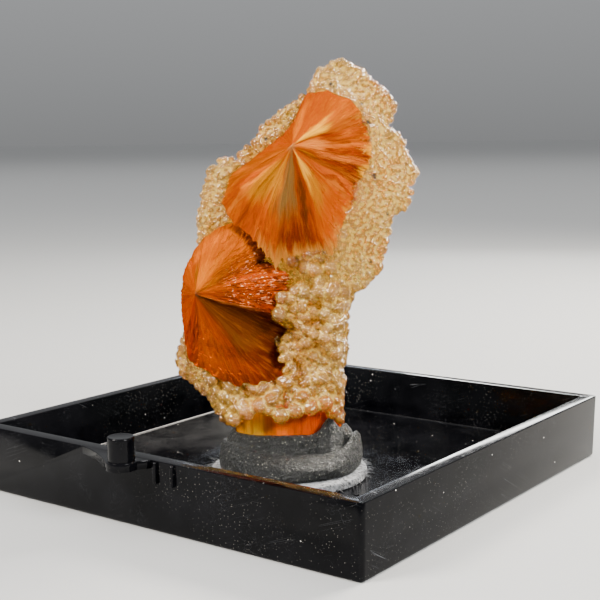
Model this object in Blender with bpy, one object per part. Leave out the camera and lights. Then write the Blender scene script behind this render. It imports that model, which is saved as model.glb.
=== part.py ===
"""A thumbnail specimen of scolecite with chalcedony, set in putty on a felt disc in a small square box base.

The origin is the middle of the box base's underside, +Z is up, and the box's walls run along X and Y.
The specimen is modelled facing -Y in a frame of its own, then turned and set down in the putty.
"""

import math
import random

import bmesh
import bpy
from mathutils import Matrix, Vector

for old in list(bpy.data.objects):
    bpy.data.objects.remove(old, do_unlink=True)

MM = 0.001

# Box base
BOX_SIDE = 32.0 * MM
BOX_HEIGHT = 4.57 * MM
WALL = 0.95 * MM
FLOOR = 0.95 * MM
DRAFT = 0.11 * MM
CORNER_ROUND = 0.35 * MM
PEG_RADIUS = 0.85 * MM
PEG_HEIGHT = 1.55 * MM
PEG_X = -1.0 * MM
PEG_OUT = 1.05 * MM
LUG_THICK = 0.55 * MM
LUG_MARGIN = 0.2 * MM
RIB_XS = (0.85 * MM, 2.25 * MM)
RIB_WIDTH = 0.22 * MM
RIB_DEPTH = 0.24 * MM
RIB_FOOT_Z = 3.12 * MM

# Felt disc and putty
GAP = 0.3 * MM
MOUNT_X = 1.8 * MM
MOUNT_Y = -3.6 * MM
FELT_RADIUS = 5.5 * MM
FELT_THICK = 0.45 * MM
FELT_SHIFT_Y = -0.2 * MM
PUTTY_RADIUS = 4.85 * MM
SOCKET_HALF_WIDTH = 4.15 * MM
SOCKET_HALF_DEPTH = 1.95 * MM
SOCKET_BACK = 0.35 * MM

# Specimen, in its own frame: x to the right, z up, the front faces -y
TURN = math.radians(37.22)
PLATE_FRONT = -0.3
PLATE_BACK = 2.3
VOXEL = 0.33 * MM
STONE_FOOT_Z = 4.45


def material(name, colour, roughness, metallic=0.0, transmission=0.0):
    mat = bpy.data.materials.new(name)
    mat.use_nodes = True
    shader = mat.node_tree.nodes["Principled BSDF"]
    shader.inputs["Base Color"].default_value = (*colour, 1.0)
    shader.inputs["Roughness"].default_value = roughness
    shader.inputs["Metallic"].default_value = metallic
    shader.inputs["Transmission Weight"].default_value = transmission
    mat.diffuse_color = (*colour, 1.0)
    return mat


def add_object(name, bm, mat):
    bmesh.ops.recalc_face_normals(bm, faces=bm.faces)
    mesh = bpy.data.meshes.new(name)
    bm.to_mesh(mesh)
    bm.free()
    mesh.materials.append(mat)
    mesh.shade_smooth()
    mesh.set_sharp_from_angle(angle=math.radians(30))
    obj = bpy.data.objects.new(name, mesh)
    bpy.context.scene.collection.objects.link(obj)
    return obj


def hide_tool(obj):
    obj.hide_render = True
    obj.display_type = "WIRE"
    return obj


def join_solid(target, tool):
    mod = target.modifiers.new("join " + tool.name, "BOOLEAN")
    mod.operation = "UNION"
    mod.object = hide_tool(tool)
    return mod


def loft(bm, rings):
    """Closed solid through equal rings of points, capped at the first and the last."""
    loops = [[bm.verts.new(p) for p in ring] for ring in rings]
    count = len(loops[0])
    for low, high in zip(loops, loops[1:]):
        for i in range(count):
            j = (i + 1) % count
            bm.faces.new((low[i], low[j], high[j], high[i]))
    bm.faces.new(list(reversed(loops[0])))
    bm.faces.new(loops[-1])


def rounded_square(half, radius, z, steps=4):
    points = []
    for corner in range(4):
        start = corner * math.pi / 2
        cx = (half - radius) * (1 if corner in (0, 3) else -1)
        cy = (half - radius) * (1 if corner in (0, 1) else -1)
        for step in range(steps + 1):
            a = start + step / steps * math.pi / 2
            points.append(Vector((cx + radius * math.cos(a), cy + radius * math.sin(a), z)))
    return points


# Box base: a drafted square tray with a rounded foot edge and thin walls

black_plastic = material("black_plastic", (0.012, 0.012, 0.013), 0.12)

half_top = BOX_SIDE / 2
half_foot = half_top - DRAFT
foot_round = 0.3 * MM
rim_round = 0.06 * MM


def outer_half(z):
    return half_foot + DRAFT * z / BOX_HEIGHT


def inner_half(z):
    return half_top - WALL - DRAFT * (BOX_HEIGHT - z) / BOX_HEIGHT


tray = bmesh.new()
outer = []
for step in range(4):
    a = step / 3 * math.pi / 2
    inset = foot_round * (1 - math.sin(a))
    outer.append((outer_half(0) - inset, foot_round * (1 - math.cos(a))))
outer.append((outer_half(BOX_HEIGHT) - 0.3 * rim_round, BOX_HEIGHT - rim_round))
outer.append((outer_half(BOX_HEIGHT) - rim_round, BOX_HEIGHT))
inner = [
    (inner_half(BOX_HEIGHT) + rim_round, BOX_HEIGHT),
    (inner_half(BOX_HEIGHT), BOX_HEIGHT - rim_round),
    (inner_half(FLOOR) - 0.02 * MM, FLOOR + 0.12 * MM),
    (inner_half(FLOOR) - 0.14 * MM, FLOOR),
]
rings = [rounded_square(h, CORNER_ROUND, z) for h, z in outer]
rings += [rounded_square(h, 0.6 * CORNER_ROUND, z) for h, z in inner]
loft(tray, rings)
box_base = add_object("box_base", tray, black_plastic)

# Peg on its lug: the lug flares wide to the left and steps in short on the right

peg_y = -half_top - PEG_OUT
lug_radius = PEG_RADIUS + LUG_MARGIN
lug_outline = [(0.45 * MM, -half_top + 0.4 * MM), (0.45 * MM, -half_top - 0.1 * MM)]
for step in range(11):
    a = math.radians(20 - step * 14.5)
    lug_outline.append((PEG_X + lug_radius * math.cos(a), peg_y + lug_radius * math.sin(a)))
flare_start = Vector(lug_outline[-1])
flare_end = Vector((-5.6 * MM, -half_top - 0.01 * MM))
flare_pull = Vector((-3.6 * MM, -half_top - 0.45 * MM))
for step in range(1, 8):
    t = step / 7
    p = (1 - t) ** 2 * flare_start + 2 * t * (1 - t) * flare_pull + t * t * flare_end
    lug_outline.append((p.x, p.y))
lug_outline.append((-5.6 * MM, -half_top + 0.4 * MM))

lug = bmesh.new()
lug_face = lug.faces.new([lug.verts.new((x, y, BOX_HEIGHT - LUG_THICK)) for x, y in lug_outline])
lifted = bmesh.ops.extrude_face_region(lug, geom=[lug_face])
lug_top = [v for v in lifted["geom"] if isinstance(v, bmesh.types.BMVert)]
bmesh.ops.translate(lug, verts=lug_top, vec=(0, 0, LUG_THICK - 0.01 * MM))
lug_tool = add_object("lug", lug, black_plastic)

peg = bmesh.new()
peg_segments = 28
peg_profile = [
    (PEG_RADIUS, BOX_HEIGHT - 0.3 * MM),
    (PEG_RADIUS, BOX_HEIGHT + PEG_HEIGHT - 0.16 * MM),
    (PEG_RADIUS - 0.05 * MM, BOX_HEIGHT + PEG_HEIGHT - 0.05 * MM),
    (PEG_RADIUS - 0.16 * MM, BOX_HEIGHT + PEG_HEIGHT),
    (PEG_RADIUS - 0.34 * MM, BOX_HEIGHT + PEG_HEIGHT - 0.03 * MM),
]
peg_rings = []
for radius, z in peg_profile:
    angles = [i * 2 * math.pi / peg_segments for i in range(peg_segments)]
    peg_rings.append([Vector((PEG_X + radius * math.cos(a), peg_y + radius * math.sin(a), z)) for a in angles])
loft(peg, peg_rings)
peg_tool = add_object("peg", peg, black_plastic)

join_solid(box_base, lug_tool)
join_solid(box_base, peg_tool)

for number, rib_x in enumerate(RIB_XS):
    rib = bmesh.new()
    rib_top = BOX_HEIGHT - 0.08 * MM
    rib_size = Vector((RIB_WIDTH, 2 * RIB_DEPTH, rib_top - RIB_FOOT_Z))
    rib_place = Vector((rib_x, -half_top, (rib_top + RIB_FOOT_Z) / 2))
    bmesh.ops.create_cube(rib, size=1.0, matrix=Matrix.Translation(rib_place) @ Matrix.Diagonal((*rib_size, 1.0)))
    join_solid(box_base, add_object(f"rib_{number + 1}", rib, black_plastic))

# Felt disc: a thin round pad with a soft, slightly uneven edge

white_felt = material("white_felt", (0.78, 0.78, 0.77), 0.95)

felt_z = FLOOR + GAP
felt_top = felt_z + FELT_THICK
felt_segments = 48
felt = bmesh.new()
felt_rings = []
for inset, z in ((0.18, felt_z), (0.0, felt_z + 0.15 * MM), (0.02, felt_top - 0.14 * MM), (0.2, felt_top)):
    ring = []
    for i in range(felt_segments):
        a = i * 2 * math.pi / felt_segments
        radius = FELT_RADIUS - inset * MM + 0.05 * MM * math.sin(5 * a) + 0.03 * MM * math.sin(11 * a + 1)
        ring.append(Vector((MOUNT_X + radius * math.cos(a), MOUNT_Y + FELT_SHIFT_Y + radius * math.sin(a), z)))
    felt_rings.append(ring)
loft(felt, felt_rings)
felt_disc = add_object("felt_disc", felt, white_felt)

# Putty: a rolled coil whose inner side climbs to the specimen's foot, with a pinched fold at the right

grey_putty = material("grey_putty", (0.055, 0.057, 0.054), 0.55)

putty_z = felt_top + GAP
socket_floor = putty_z + 0.5 * MM
putty_segments = 72


def bump(angle, centre, width):
    """A smooth hill of height 1 round the ring at an angle, with its half width, both in degrees."""
    away = (math.degrees(angle) - centre + 180) % 360 - 180
    return math.exp(-((away / width) ** 2))


def crest_height(angle):
    """Height of the inner ridge above the putty's underside. 0 degrees is right, 270 is the front."""
    fold = 1.05 * bump(angle, 314, 15) + 0.45 * bump(angle, 345, 22)
    side = 0.15 * bump(angle, 205, 30)
    return (2.1 + fold + side + 0.08 * math.sin(3 * angle)) * MM


def coil_height(angle):
    return (1.25 + 0.1 * math.sin(2 * angle + 0.6) + 0.75 * bump(angle, 350, 26) + 0.3 * bump(angle, 200, 40)) * MM


def valley_depth(angle):
    """How far the dent between the coil and the ridge sinks: deepest at the front and beside the fold."""
    return (0.1 + 0.4 * bump(angle, 272, 24) + 0.45 * bump(angle, 336, 12)) * MM


putty = bmesh.new()
putty_rings = []
for level in range(12):
    ring = []
    for i in range(putty_segments):
        a = i * 2 * math.pi / putty_segments
        c, s = math.cos(a), math.sin(a)
        wave = 0.07 * MM * math.sin(4 * a + 1) + 0.05 * MM * math.sin(7 * a)
        out = PUTTY_RADIUS + wave
        squeeze = 1 - 0.06 * abs(s)
        edge = Vector((SOCKET_HALF_WIDTH * c, SOCKET_HALF_DEPTH * s + SOCKET_BACK))
        far = Vector((out * c, out * s * squeeze))
        coil = coil_height(a)
        crest = crest_height(a)
        valley = coil - valley_depth(a)
        reach, z = (
            (0.80, 0.0),
            (0.90, 0.12 * coil),
            (0.98, 0.36 * coil),
            (1.00, 0.62 * coil),
            (0.95, 0.86 * coil),
            (0.84, coil),
            (0.70, 0.4 * coil + 0.6 * valley),
            (0.54, valley + 0.1 * (crest - valley)),
            (0.34, valley + 0.62 * (crest - valley)),
            (0.16, crest),
            (0.02, crest - 0.12 * MM),
            (0.00, socket_floor - putty_z),
        )[level]
        flat = edge + (far - edge) * reach
        ring.append(Vector((flat.x, flat.y, putty_z + z)))
    putty_rings.append(ring)
loft(putty, putty_rings)
place = Matrix.Translation((MOUNT_X, MOUNT_Y, 0)) @ Matrix.Rotation(TURN, 4, "Z")
putty.transform(place)
mounting_putty = add_object("mounting_putty", putty, grey_putty)

# Specimen: chalcedony plate, its lumps, and the scolecite sprays, in millimetres as seen from the front

PLATE_OUTLINE = [
    (3.7, 29.3), (5.0, 28.6), (6.8, 27.2), (7.5, 26.0), (7.1, 24.8), (7.8, 24.0), (8.4, 22.8), (9.0, 21.8),
    (8.6, 20.6), (8.2, 19.3), (7.3, 18.6), (6.9, 17.3), (6.3, 15.0), (5.4, 13.9), (4.5, 13.5), (4.2, 11.6),
    (4.1, 9.6), (3.8, 8.4), (3.9, 7.0), (3.6, 6.3), (3.9, 5.2), (3.6, 4.2), (-4.0, 4.2), (-4.7, 4.6),
    (-5.8, 6.5), (-7.5, 7.9), (-7.9, 8.8), (-7.5, 10.2), (-7.1, 11.6), (-6.6, 13.3), (-6.4, 15.0), (-6.2, 16.9),
    (-6.2, 18.6), (-5.6, 21.1), (-5.3, 22.2), (-4.3, 22.9), (-3.4, 22.9), (-2.5, 23.7), (-1.5, 25.0), (0.2, 26.4),
    (1.3, 27.0), (2.0, 28.4), (2.9, 29.0),
]
CLUSTER_OUTLINE = [
    (0.8, 14.4), (2.6, 14.6), (3.7, 13.7), (3.9, 12.0), (3.7, 8.0), (3.5, 5.2), (2.2, 5.6), (0.9, 8.0),
    (1.0, 9.2), (0.4, 10.9), (-1.0, 12.1), (-0.6, 13.7),
]
CURTAIN_OUTLINE = [
    (-6.0, 8.6), (-4.0, 7.9), (-1.7, 7.8), (0.9, 8.4), (2.6, 8.0), (2.5, 5.7), (1.2, 5.4), (-0.5, 5.1),
    (-2.2, 5.6), (-3.5, 5.0), (-5.0, 5.9),
]
# Round lumps that show singly: x, z, how far they stand forward, radius
SINGLE_LUMPS = [
    (0.4, 15.8, 1.0, 0.4), (1.1, 15.5, 1.2, 0.6), (1.8, 15.3, 1.4, 0.6), (2.8, 15.4, 1.2, 0.6),
    (0.9, 14.1, 1.3, 0.6), (2.1, 14.4, 1.5, 0.5), (3.0, 14.2, 1.5, 0.5), (3.7, 13.7, 0.7, 0.5),
    (-0.4, 13.5, 1.7, 0.6), (-0.6, 12.4, 1.9, 0.65), (3.6, 12.8, 0.8, 0.5), (3.6, 11.8, 0.8, 0.5),
    (-2.9, 5.7, 1.5, 0.8), (-2.0, 6.1, 1.7, 0.8), (-0.5, 5.5, 1.8, 0.9), (0.5, 5.7, 1.7, 0.8),
    (1.5, 6.0, 1.6, 0.8), (2.5, 6.2, 1.3, 0.8), (-3.8, 5.2, 1.2, 0.7), (-1.2, 6.4, 1.8, 0.8), (0.15, 10.85, 0.8, 0.55),
]
# Rims of the sprays round their apex: x, z, how far they stand forward
UPPER_APEX = (0.35, 23.5, 3.9)
UPPER_RIM = [
    (1.6, 26.9, 0.7), (2.9, 27.1, 0.6), (4.2, 26.6, 0.6), (5.4, 25.5, 0.5), (5.6, 24.1, 0.5), (5.7, 22.8, 0.5),
    (5.0, 21.2, 0.6), (4.4, 19.7, 0.8), (3.6, 17.8, 1.2), (3.1, 16.3, 1.6), (2.1, 16.5, 1.8), (0.1, 16.1, 2.1),
    (-0.8, 15.6, 2.2), (-1.5, 16.7, 2.0), (-2.7, 17.7, 1.7), (-3.6, 18.4, 1.5), (-4.3, 19.8, 1.2),
    (-3.9, 21.1, 1.1), (-3.5, 21.8, 1.0), (-1.9, 23.1, 1.0), (-0.1, 24.3, 1.0), (0.8, 25.4, 0.9), (1.2, 26.3, 0.8),
]
LOWER_APEX = (-6.0, 14.1, 4.0)
LOWER_RIM = [
    (-6.4, 16.4, 0.9), (-5.4, 17.7, 0.8), (-3.4, 18.5, 0.7), (-2.0, 16.6, 0.6), (-1.1, 15.1, 0.6),
    (-0.1, 14.8, 0.7), (-0.4, 13.2, 1.2), (-0.8, 11.5, 1.4), (0.2, 10.7, 1.0), (0.9, 9.4, 0.8), (0.7, 8.2, 0.9),
    (-1.3, 7.6, 1.2), (-3.3, 7.5, 1.4), (-5.0, 7.9, 1.3), (-6.1, 9.0, 1.2), (-6.9, 10.2, 1.1), (-7.1, 12.6, 1.1),
    (-7.2, 13.8, 1.2), (-6.9, 15.6, 1.0),
]


def inside(outline, x, z):
    hit = False
    for (ax, az), (bx, bz) in zip(outline, outline[1:] + outline[:1]):
        if (az > z) != (bz > z) and x < ax + (z - az) * (bx - ax) / (bz - az):
            hit = not hit
    return hit


def along(outline, spacing):
    """Evenly spaced points along a closed outline, each with its inward direction."""
    found = []
    for (ax, az), (bx, bz) in zip(outline, outline[1:] + outline[:1]):
        a, b = Vector((ax, az)), Vector((bx, bz))
        count = max(1, round((b - a).length / spacing))
        inward = Vector(((b - a).y, -(b - a).x)).normalized()
        for i in range(count):
            found.append((a.lerp(b, (i + 0.5) / count), inward))
    return found


def slab(bm, outline, front, back, margin):
    """A slab with the outline drawn in by a margin, its front and back faces drawn in a little more."""
    rings = []
    for y, extra in ((front, 0.35), (front + 0.4, 0.0), (back - 0.5, 0.0), (back, 0.5)):
        ring = []
        count = len(outline)
        for i in range(count):
            before, here, after = (Vector(outline[(i + k) % count]) for k in (-1, 0, 1))
            edge = (after - before).normalized()
            inward = Vector((edge.y, -edge.x))
            p = here + inward * (margin + extra)
            ring.append(Vector((p.x * MM, y * MM, p.y * MM)))
        rings.append(ring)
    loft(bm, rings)


def lump(bm, x, z, forward, radius, detail=2):
    if z - radius < STONE_FOOT_Z:
        z = STONE_FOOT_Z + radius
    matrix = Matrix.Translation((x * MM, -forward * MM, z * MM)) @ Matrix.Rotation(x + 2 * z, 4, (1, 0.3, 0.6))
    bmesh.ops.create_icosphere(bm, subdivisions=detail, radius=radius * MM, matrix=matrix)


def well_inside(outline, x, z, room):
    """Whether a round of this radius about the point stays in the outline."""
    sides = [math.radians(45 * i) for i in range(8)]
    return all(inside(outline, x + room * math.cos(a), z + room * math.sin(a)) for a in sides)


def scatter(outline, spacing, rng, room=0.3, keep_out=()):
    """Points of a loosened triangular grid that lie in an outline and outside others."""
    xs = [x for x, z in outline]
    zs = [z for x, z in outline]
    row = 0
    z = min(zs)
    while z < max(zs):
        x = min(xs) + (row % 2) * spacing / 2
        while x < max(xs):
            px = x + rng.uniform(-0.25, 0.25) * spacing
            pz = z + rng.uniform(-0.25, 0.25) * spacing
            if well_inside(outline, px, pz, room) and not any(inside(o, px, pz) for o in keep_out):
                yield px, pz
            x += spacing
        z += spacing * 0.87
        row += 1


rng = random.Random(11)
stone = bmesh.new()
slab(stone, PLATE_OUTLINE, PLATE_FRONT, PLATE_BACK, 0.45)
slab(stone, CLUSTER_OUTLINE, -1.3, 1.0, 0.1)
slab(stone, CURTAIN_OUTLINE, -1.3, 1.0, 0.1)
upper_flat = [(x, z) for x, z, forward in UPPER_RIM]
lower_flat = [(x, z) for x, z, forward in LOWER_RIM]
slab(stone, upper_flat, -0.8, 1.0, 0.25)
slab(stone, lower_flat, -0.8, 1.0, 0.25)

for point, inward in along(PLATE_OUTLINE, 0.8):
    radius = rng.uniform(0.45, 0.75)
    centre = point + inward * radius * 0.85
    lump(stone, centre.x, centre.y, rng.uniform(-1.4, 0.1), radius)
    behind = point + inward * radius * 1.5
    lump(stone, behind.x, behind.y, rng.uniform(-2.1, -1.2), radius)

grown_over = (upper_flat, lower_flat, CLUSTER_OUTLINE, CURTAIN_OUTLINE)
for x, z in scatter(PLATE_OUTLINE, 1.05, rng, keep_out=grown_over):
    lump(stone, x, z, rng.uniform(0.0, 0.25), rng.uniform(0.5, 0.75))
for x, z in scatter(PLATE_OUTLINE, 1.7, rng, room=0.9):
    lump(stone, x, z, rng.uniform(-1.9, -1.5), rng.uniform(0.8, 1.25))
for outline in (CLUSTER_OUTLINE, CURTAIN_OUTLINE):
    for x, z in scatter(outline, 0.9, rng):
        lump(stone, x, z, rng.uniform(1.2, 1.7), rng.uniform(0.5, 0.75))
for x, z, forward, radius in SINGLE_LUMPS:
    lump(stone, x, z, forward, radius)

honey_stone = material("honey_stone", (0.80, 0.42, 0.17), 0.3, transmission=0.2)
specimen = add_object("scolecite_specimen", stone, honey_stone)

remesh = specimen.modifiers.new("grow together", "REMESH")
remesh.mode = "VOXEL"
remesh.voxel_size = VOXEL
remesh.adaptivity = 0.0
thin = specimen.modifiers.new("fewer faces", "DECIMATE")
thin.ratio = 0.22


def rim_at(apex, rim, angle):
    """The rim's point straight out from the apex at an angle."""
    ax, az, forward = apex
    direction = Vector((math.cos(angle), math.sin(angle)))
    best = None
    for (px, pz, pf), (qx, qz, qf) in zip(rim, rim[1:] + rim[:1]):
        p = Vector((px - ax, pz - az))
        q = Vector((qx - ax, qz - az))
        edge = q - p
        cross = direction.x * edge.y - direction.y * edge.x
        if abs(cross) < 1e-9:
            continue
        t = (p.x * edge.y - p.y * edge.x) / cross
        s = (p.x * direction.y - p.y * direction.x) / cross
        if t > 0 and -1e-6 <= s <= 1 + 1e-6 and (best is None or t > best[0]):
            best = (t, pf + (qf - pf) * s)
    return best


def spray(name, apex, rim, blades, ridge, swell, seed):
    """A low cone of radiating blades: each blade is a raised flat rib from the apex to a stepped rim."""
    pick = random.Random(seed)
    bm = bmesh.new()
    tip = bm.verts.new(Vector((apex[0], -apex[2], apex[1])) * MM)
    bottom = bm.verts.new(Vector((apex[0] + 0.2, 0.9, apex[1])) * MM)
    spokes = []
    for blade in range(blades):
        lift = pick.uniform(0.3, 1.0) * ridge
        stretch = pick.uniform(0.93, 1.03)
        width = 2 * math.pi / blades
        for part, raised in ((0.04, 0.0), (0.22, 1.0), (0.78, 0.85), (0.96, 0.0)):
            angle = (blade + part) * width
            reach, rim_forward = rim_at(apex, rim, angle)
            reach *= stretch
            spoke = []
            for along_blade in (0.14, 0.4, 0.7, 1.0):
                fall = along_blade ** swell
                forward = apex[2] + (rim_forward - apex[2]) * fall + raised * lift * along_blade
                r = reach * along_blade
                p = Vector((apex[0] + r * math.cos(angle), -forward, apex[1] + r * math.sin(angle)))
                spoke.append(bm.verts.new(p * MM))
            r = reach * 0.93
            p = Vector((apex[0] + r * math.cos(angle), 0.55, apex[1] + r * math.sin(angle)))
            spoke.append(bm.verts.new(p * MM))
            spokes.append(spoke)
    for left, right in zip(spokes, spokes[1:] + spokes[:1]):
        bm.faces.new((tip, left[0], right[0]))
        for k in range(4):
            bm.faces.new((left[k], left[k + 1], right[k + 1], right[k]))
        bm.faces.new((left[4], bottom, right[4]))
    return add_object(name, bm, honey_stone)


join_solid(specimen, spray("upper_spray", UPPER_APEX, UPPER_RIM, 23, 0.32, 0.85, 3))
join_solid(specimen, spray("lower_spray", LOWER_APEX, LOWER_RIM, 21, 0.34, 0.8, 5))

# Foot of the specimen: a fluted column of scolecite below the curtain, its end in the putty's socket

foot = bmesh.new()
flutes = 40
foot_rings = []
foot_end = (socket_floor + GAP) / MM
for z, grow in ((foot_end, 0.9), (3.6, 1.0), (5.2, 1.0), (7.0, 0.96)):
    ring = []
    for i in range(flutes):
        a = i * 2 * math.pi / flutes
        groove = 1.0 - 0.05 * (i % 2)
        x = -0.1 + 3.72 * grow * groove * math.cos(a)
        y = -SOCKET_BACK / MM + 0.62 + 1.45 * grow * groove * math.sin(a)
        ring.append(Vector((x, y, z)) * MM)
    foot_rings.append(ring)
loft(foot, foot_rings)
join_solid(specimen, add_object("foot", foot, honey_stone))

for name in ("scolecite_specimen", "upper_spray", "lower_spray", "foot"):
    grown = bpy.data.objects[name]
    grown.rotation_euler = (0.0, 0.0, TURN)
    grown.location = (MOUNT_X, MOUNT_Y, 0.0)
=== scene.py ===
# %% [markdown]
# # Scolecite with chalcedony, in the base of its specimen box
# The real object is a thumbnail mineral specimen. Orange scolecite grew in two low cones of silky blades,
# and cream chalcedony grew round them in small round lumps. A coil of dark putty holds its foot, on a felt
# disc, in a square black plastic tray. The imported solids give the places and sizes. Every piece below is a
# finer piece in the same place, with a finish of its own.

# %% Load the frame
import math
import random

import bmesh
import bpy
import numpy as np
from mathutils import Matrix, Vector, noise


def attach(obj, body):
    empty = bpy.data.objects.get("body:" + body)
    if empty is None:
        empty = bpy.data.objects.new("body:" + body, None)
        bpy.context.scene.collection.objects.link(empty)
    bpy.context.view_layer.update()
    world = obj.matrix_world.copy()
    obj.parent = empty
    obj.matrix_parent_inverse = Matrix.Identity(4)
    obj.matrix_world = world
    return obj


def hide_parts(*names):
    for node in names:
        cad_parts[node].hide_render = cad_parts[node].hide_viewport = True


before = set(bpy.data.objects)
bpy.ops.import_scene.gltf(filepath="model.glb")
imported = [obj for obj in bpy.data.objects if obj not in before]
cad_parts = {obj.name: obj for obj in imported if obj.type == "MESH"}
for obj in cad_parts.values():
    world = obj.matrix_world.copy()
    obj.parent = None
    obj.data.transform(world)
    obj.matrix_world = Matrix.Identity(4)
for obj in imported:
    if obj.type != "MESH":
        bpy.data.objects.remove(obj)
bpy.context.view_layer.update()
print("nodes:", sorted(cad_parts))

# %% [markdown]
# ## Camera, floor and light
# The camera was fitted to the corners of the tray, whose walls run along X and Y. It looks slightly down over
# one corner, from 86 mm off the tray's middle. The numbers are its place in millimetres and its three turns.

# %% Camera
MM = 0.001


def new_object(name, data):
    """An object for a mesh, a lamp or a camera, linked into the scene."""
    made = bpy.data.objects.new(name, data)
    bpy.context.scene.collection.objects.link(made)
    return made


CAMERA_PLACE = Vector((49.39, -66.24, 23.81)) * MM
CAMERA_HEADING = math.radians(126.64)
CAMERA_DOWN = math.radians(7.76)
CAMERA_ROLL = math.radians(-0.73)

ahead = Vector((
    math.cos(CAMERA_HEADING) * math.cos(CAMERA_DOWN),
    math.sin(CAMERA_HEADING) * math.cos(CAMERA_DOWN),
    -math.sin(CAMERA_DOWN),
))
level = Vector((math.sin(CAMERA_HEADING), -math.cos(CAMERA_HEADING), 0.0))
upward = level.cross(ahead)
right = level * math.cos(CAMERA_ROLL) + upward * math.sin(CAMERA_ROLL)
top = upward * math.cos(CAMERA_ROLL) - level * math.sin(CAMERA_ROLL)
turn = Matrix((right, top, -ahead)).transposed()

camera_data = bpy.data.cameras.new("camera")
camera_data.sensor_width = 36.0
camera_data.lens = 70.0
camera_data.clip_start = 0.005
camera_data.clip_end = 20.0
camera = new_object("camera", camera_data)
camera.matrix_world = Matrix.Translation(CAMERA_PLACE) @ turn.to_4x4()
bpy.context.scene.camera = camera
print("camera at", [round(c / MM, 1) for c in camera.location])


# %% Helpers for working by hand
def put_down():
    """Leave edit mode and select nothing."""
    if bpy.context.object and bpy.context.object.mode != "OBJECT":
        bpy.ops.object.mode_set(mode="OBJECT")
    bpy.ops.object.select_all(action="DESELECT")


def take(piece):
    put_down()
    piece.select_set(True)
    bpy.context.view_layer.objects.active = piece


def edit(piece):
    """Take a piece into edit mode with all of it selected."""
    take(piece)
    bpy.ops.object.mode_set(mode="EDIT")
    bpy.ops.mesh.select_all(action="SELECT")


def just_made(name):
    piece = bpy.context.object
    piece.name = name
    piece.data.name = name
    return piece


def pick(piece, kind, test):
    """In edit mode, select only the edges (by both ends) or faces (by middle and normal) that pass a test."""
    bpy.ops.mesh.select_mode(type=kind)
    bpy.ops.mesh.select_all(action="DESELECT")
    mesh = bmesh.from_edit_mesh(piece.data)
    if kind == "EDGE":
        chosen = [edge for edge in mesh.edges if test(edge.verts[0].co, edge.verts[1].co)]
    else:
        chosen = [face for face in mesh.faces if test(face.calc_center_median(), face.normal)]
    for part in chosen:
        part.select_set(True)
    mesh.select_flush_mode()
    bmesh.update_edit_mesh(piece.data)


def bevel_edges(piece, test, offset, segments):
    pick(piece, "EDGE", test)
    bpy.ops.mesh.bevel(offset=offset, segments=segments, affect="EDGES")


def close_up(piece, merge):
    """Merge doubled vertices, fill the open ends and point all faces outwards."""
    edit(piece)
    bpy.ops.mesh.remove_doubles(threshold=merge)
    bpy.ops.mesh.select_all(action="DESELECT")
    bpy.ops.mesh.select_mode(type="EDGE")
    bpy.ops.mesh.select_non_manifold()
    bpy.ops.mesh.fill_holes(sides=0)
    bpy.ops.mesh.select_all(action="SELECT")
    bpy.ops.mesh.normals_make_consistent(inside=False)
    put_down()


def fix_scale(piece):
    take(piece)
    bpy.ops.object.transform_apply(location=True, rotation=True, scale=True)


def finish_modifiers(piece):
    take(piece)
    for modifier in list(piece.modifiers):
        bpy.ops.object.modifier_apply(modifier=modifier.name)


def unite(piece, others):
    """Boolean union of a piece with others, which are then removed."""
    for other in others:
        take(piece)
        union = piece.modifiers.new("union", "BOOLEAN")
        union.operation = "UNION"
        union.object = other
        bpy.ops.object.modifier_apply(modifier=union.name)
        bpy.data.objects.remove(other, do_unlink=True)


def smooth_by_angle(piece, degrees):
    take(piece)
    bpy.ops.object.shade_smooth_by_angle(angle=math.radians(degrees))


def hand_in(piece, node, finish):
    """Give a finished piece its material and tie it to the frame."""
    piece.data.materials.clear()
    piece.data.materials.append(finish)
    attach(piece, "root")
    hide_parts(node)
    piece.data.calc_loop_triangles()
    print(piece.name, "has", len(piece.data.loop_triangles), "triangles")


# %% Floor
put_down()
bpy.ops.mesh.primitive_plane_add(size=20.0, location=(0, 0, 0))
floor = just_made("floor")
floor_finish = bpy.data.materials.new("pale floor")
floor_finish.use_nodes = True
floor_shader = floor_finish.node_tree.nodes["Principled BSDF"]
floor_shader.inputs["Base Color"].default_value = (0.29, 0.29, 0.286, 1)
floor_shader.inputs["Roughness"].default_value = 0.8
floor_shader.inputs["Specular IOR Level"].default_value = 0.2
floor.data.materials.append(floor_finish)


# %% Lights
def soft_light(name, place_mm, target_mm, size_mm, watts, colour=(1, 1, 1)):
    data = bpy.data.lights.new(name, "AREA")
    data.shape = "RECTANGLE"
    data.size = size_mm[0] * MM
    data.size_y = size_mm[1] * MM
    data.energy = watts
    data.color = colour
    lamp = new_object(name, data)
    place = Vector(place_mm) * MM
    lamp.location = place
    lamp.rotation_euler = (Vector(target_mm) * MM - place).to_track_quat("-Z", "Y").to_euler()
    return lamp


SUBJECT = (1.8, -3.6, 15.0)
soft_light("overhead", (0, 0, 1000), SUBJECT, (1500, 1500), 15)
soft_light("key", (-60, -130, 120), SUBJECT, (60, 60), 0.95, (1.0, 0.95, 0.88))
soft_light("side", (140, -30, 90), SUBJECT, (50, 50), 0.5)
soft_light("rim", (40, 120, 110), SUBJECT, (60, 40), 1.1, (1.0, 0.94, 0.84))
for strip in (
    soft_light("strip behind", (-104, 146, 51), (4, 1, 1), (56, 5), 0.009, (0.8, 0.88, 1.0)),
    soft_light("strip for the right rim", (-58, 156, 48), (16, 3, 4.6), (50, 15), 0.05, (1.0, 1.0, 0.97)),
):
    strip.visible_camera = False

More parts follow.
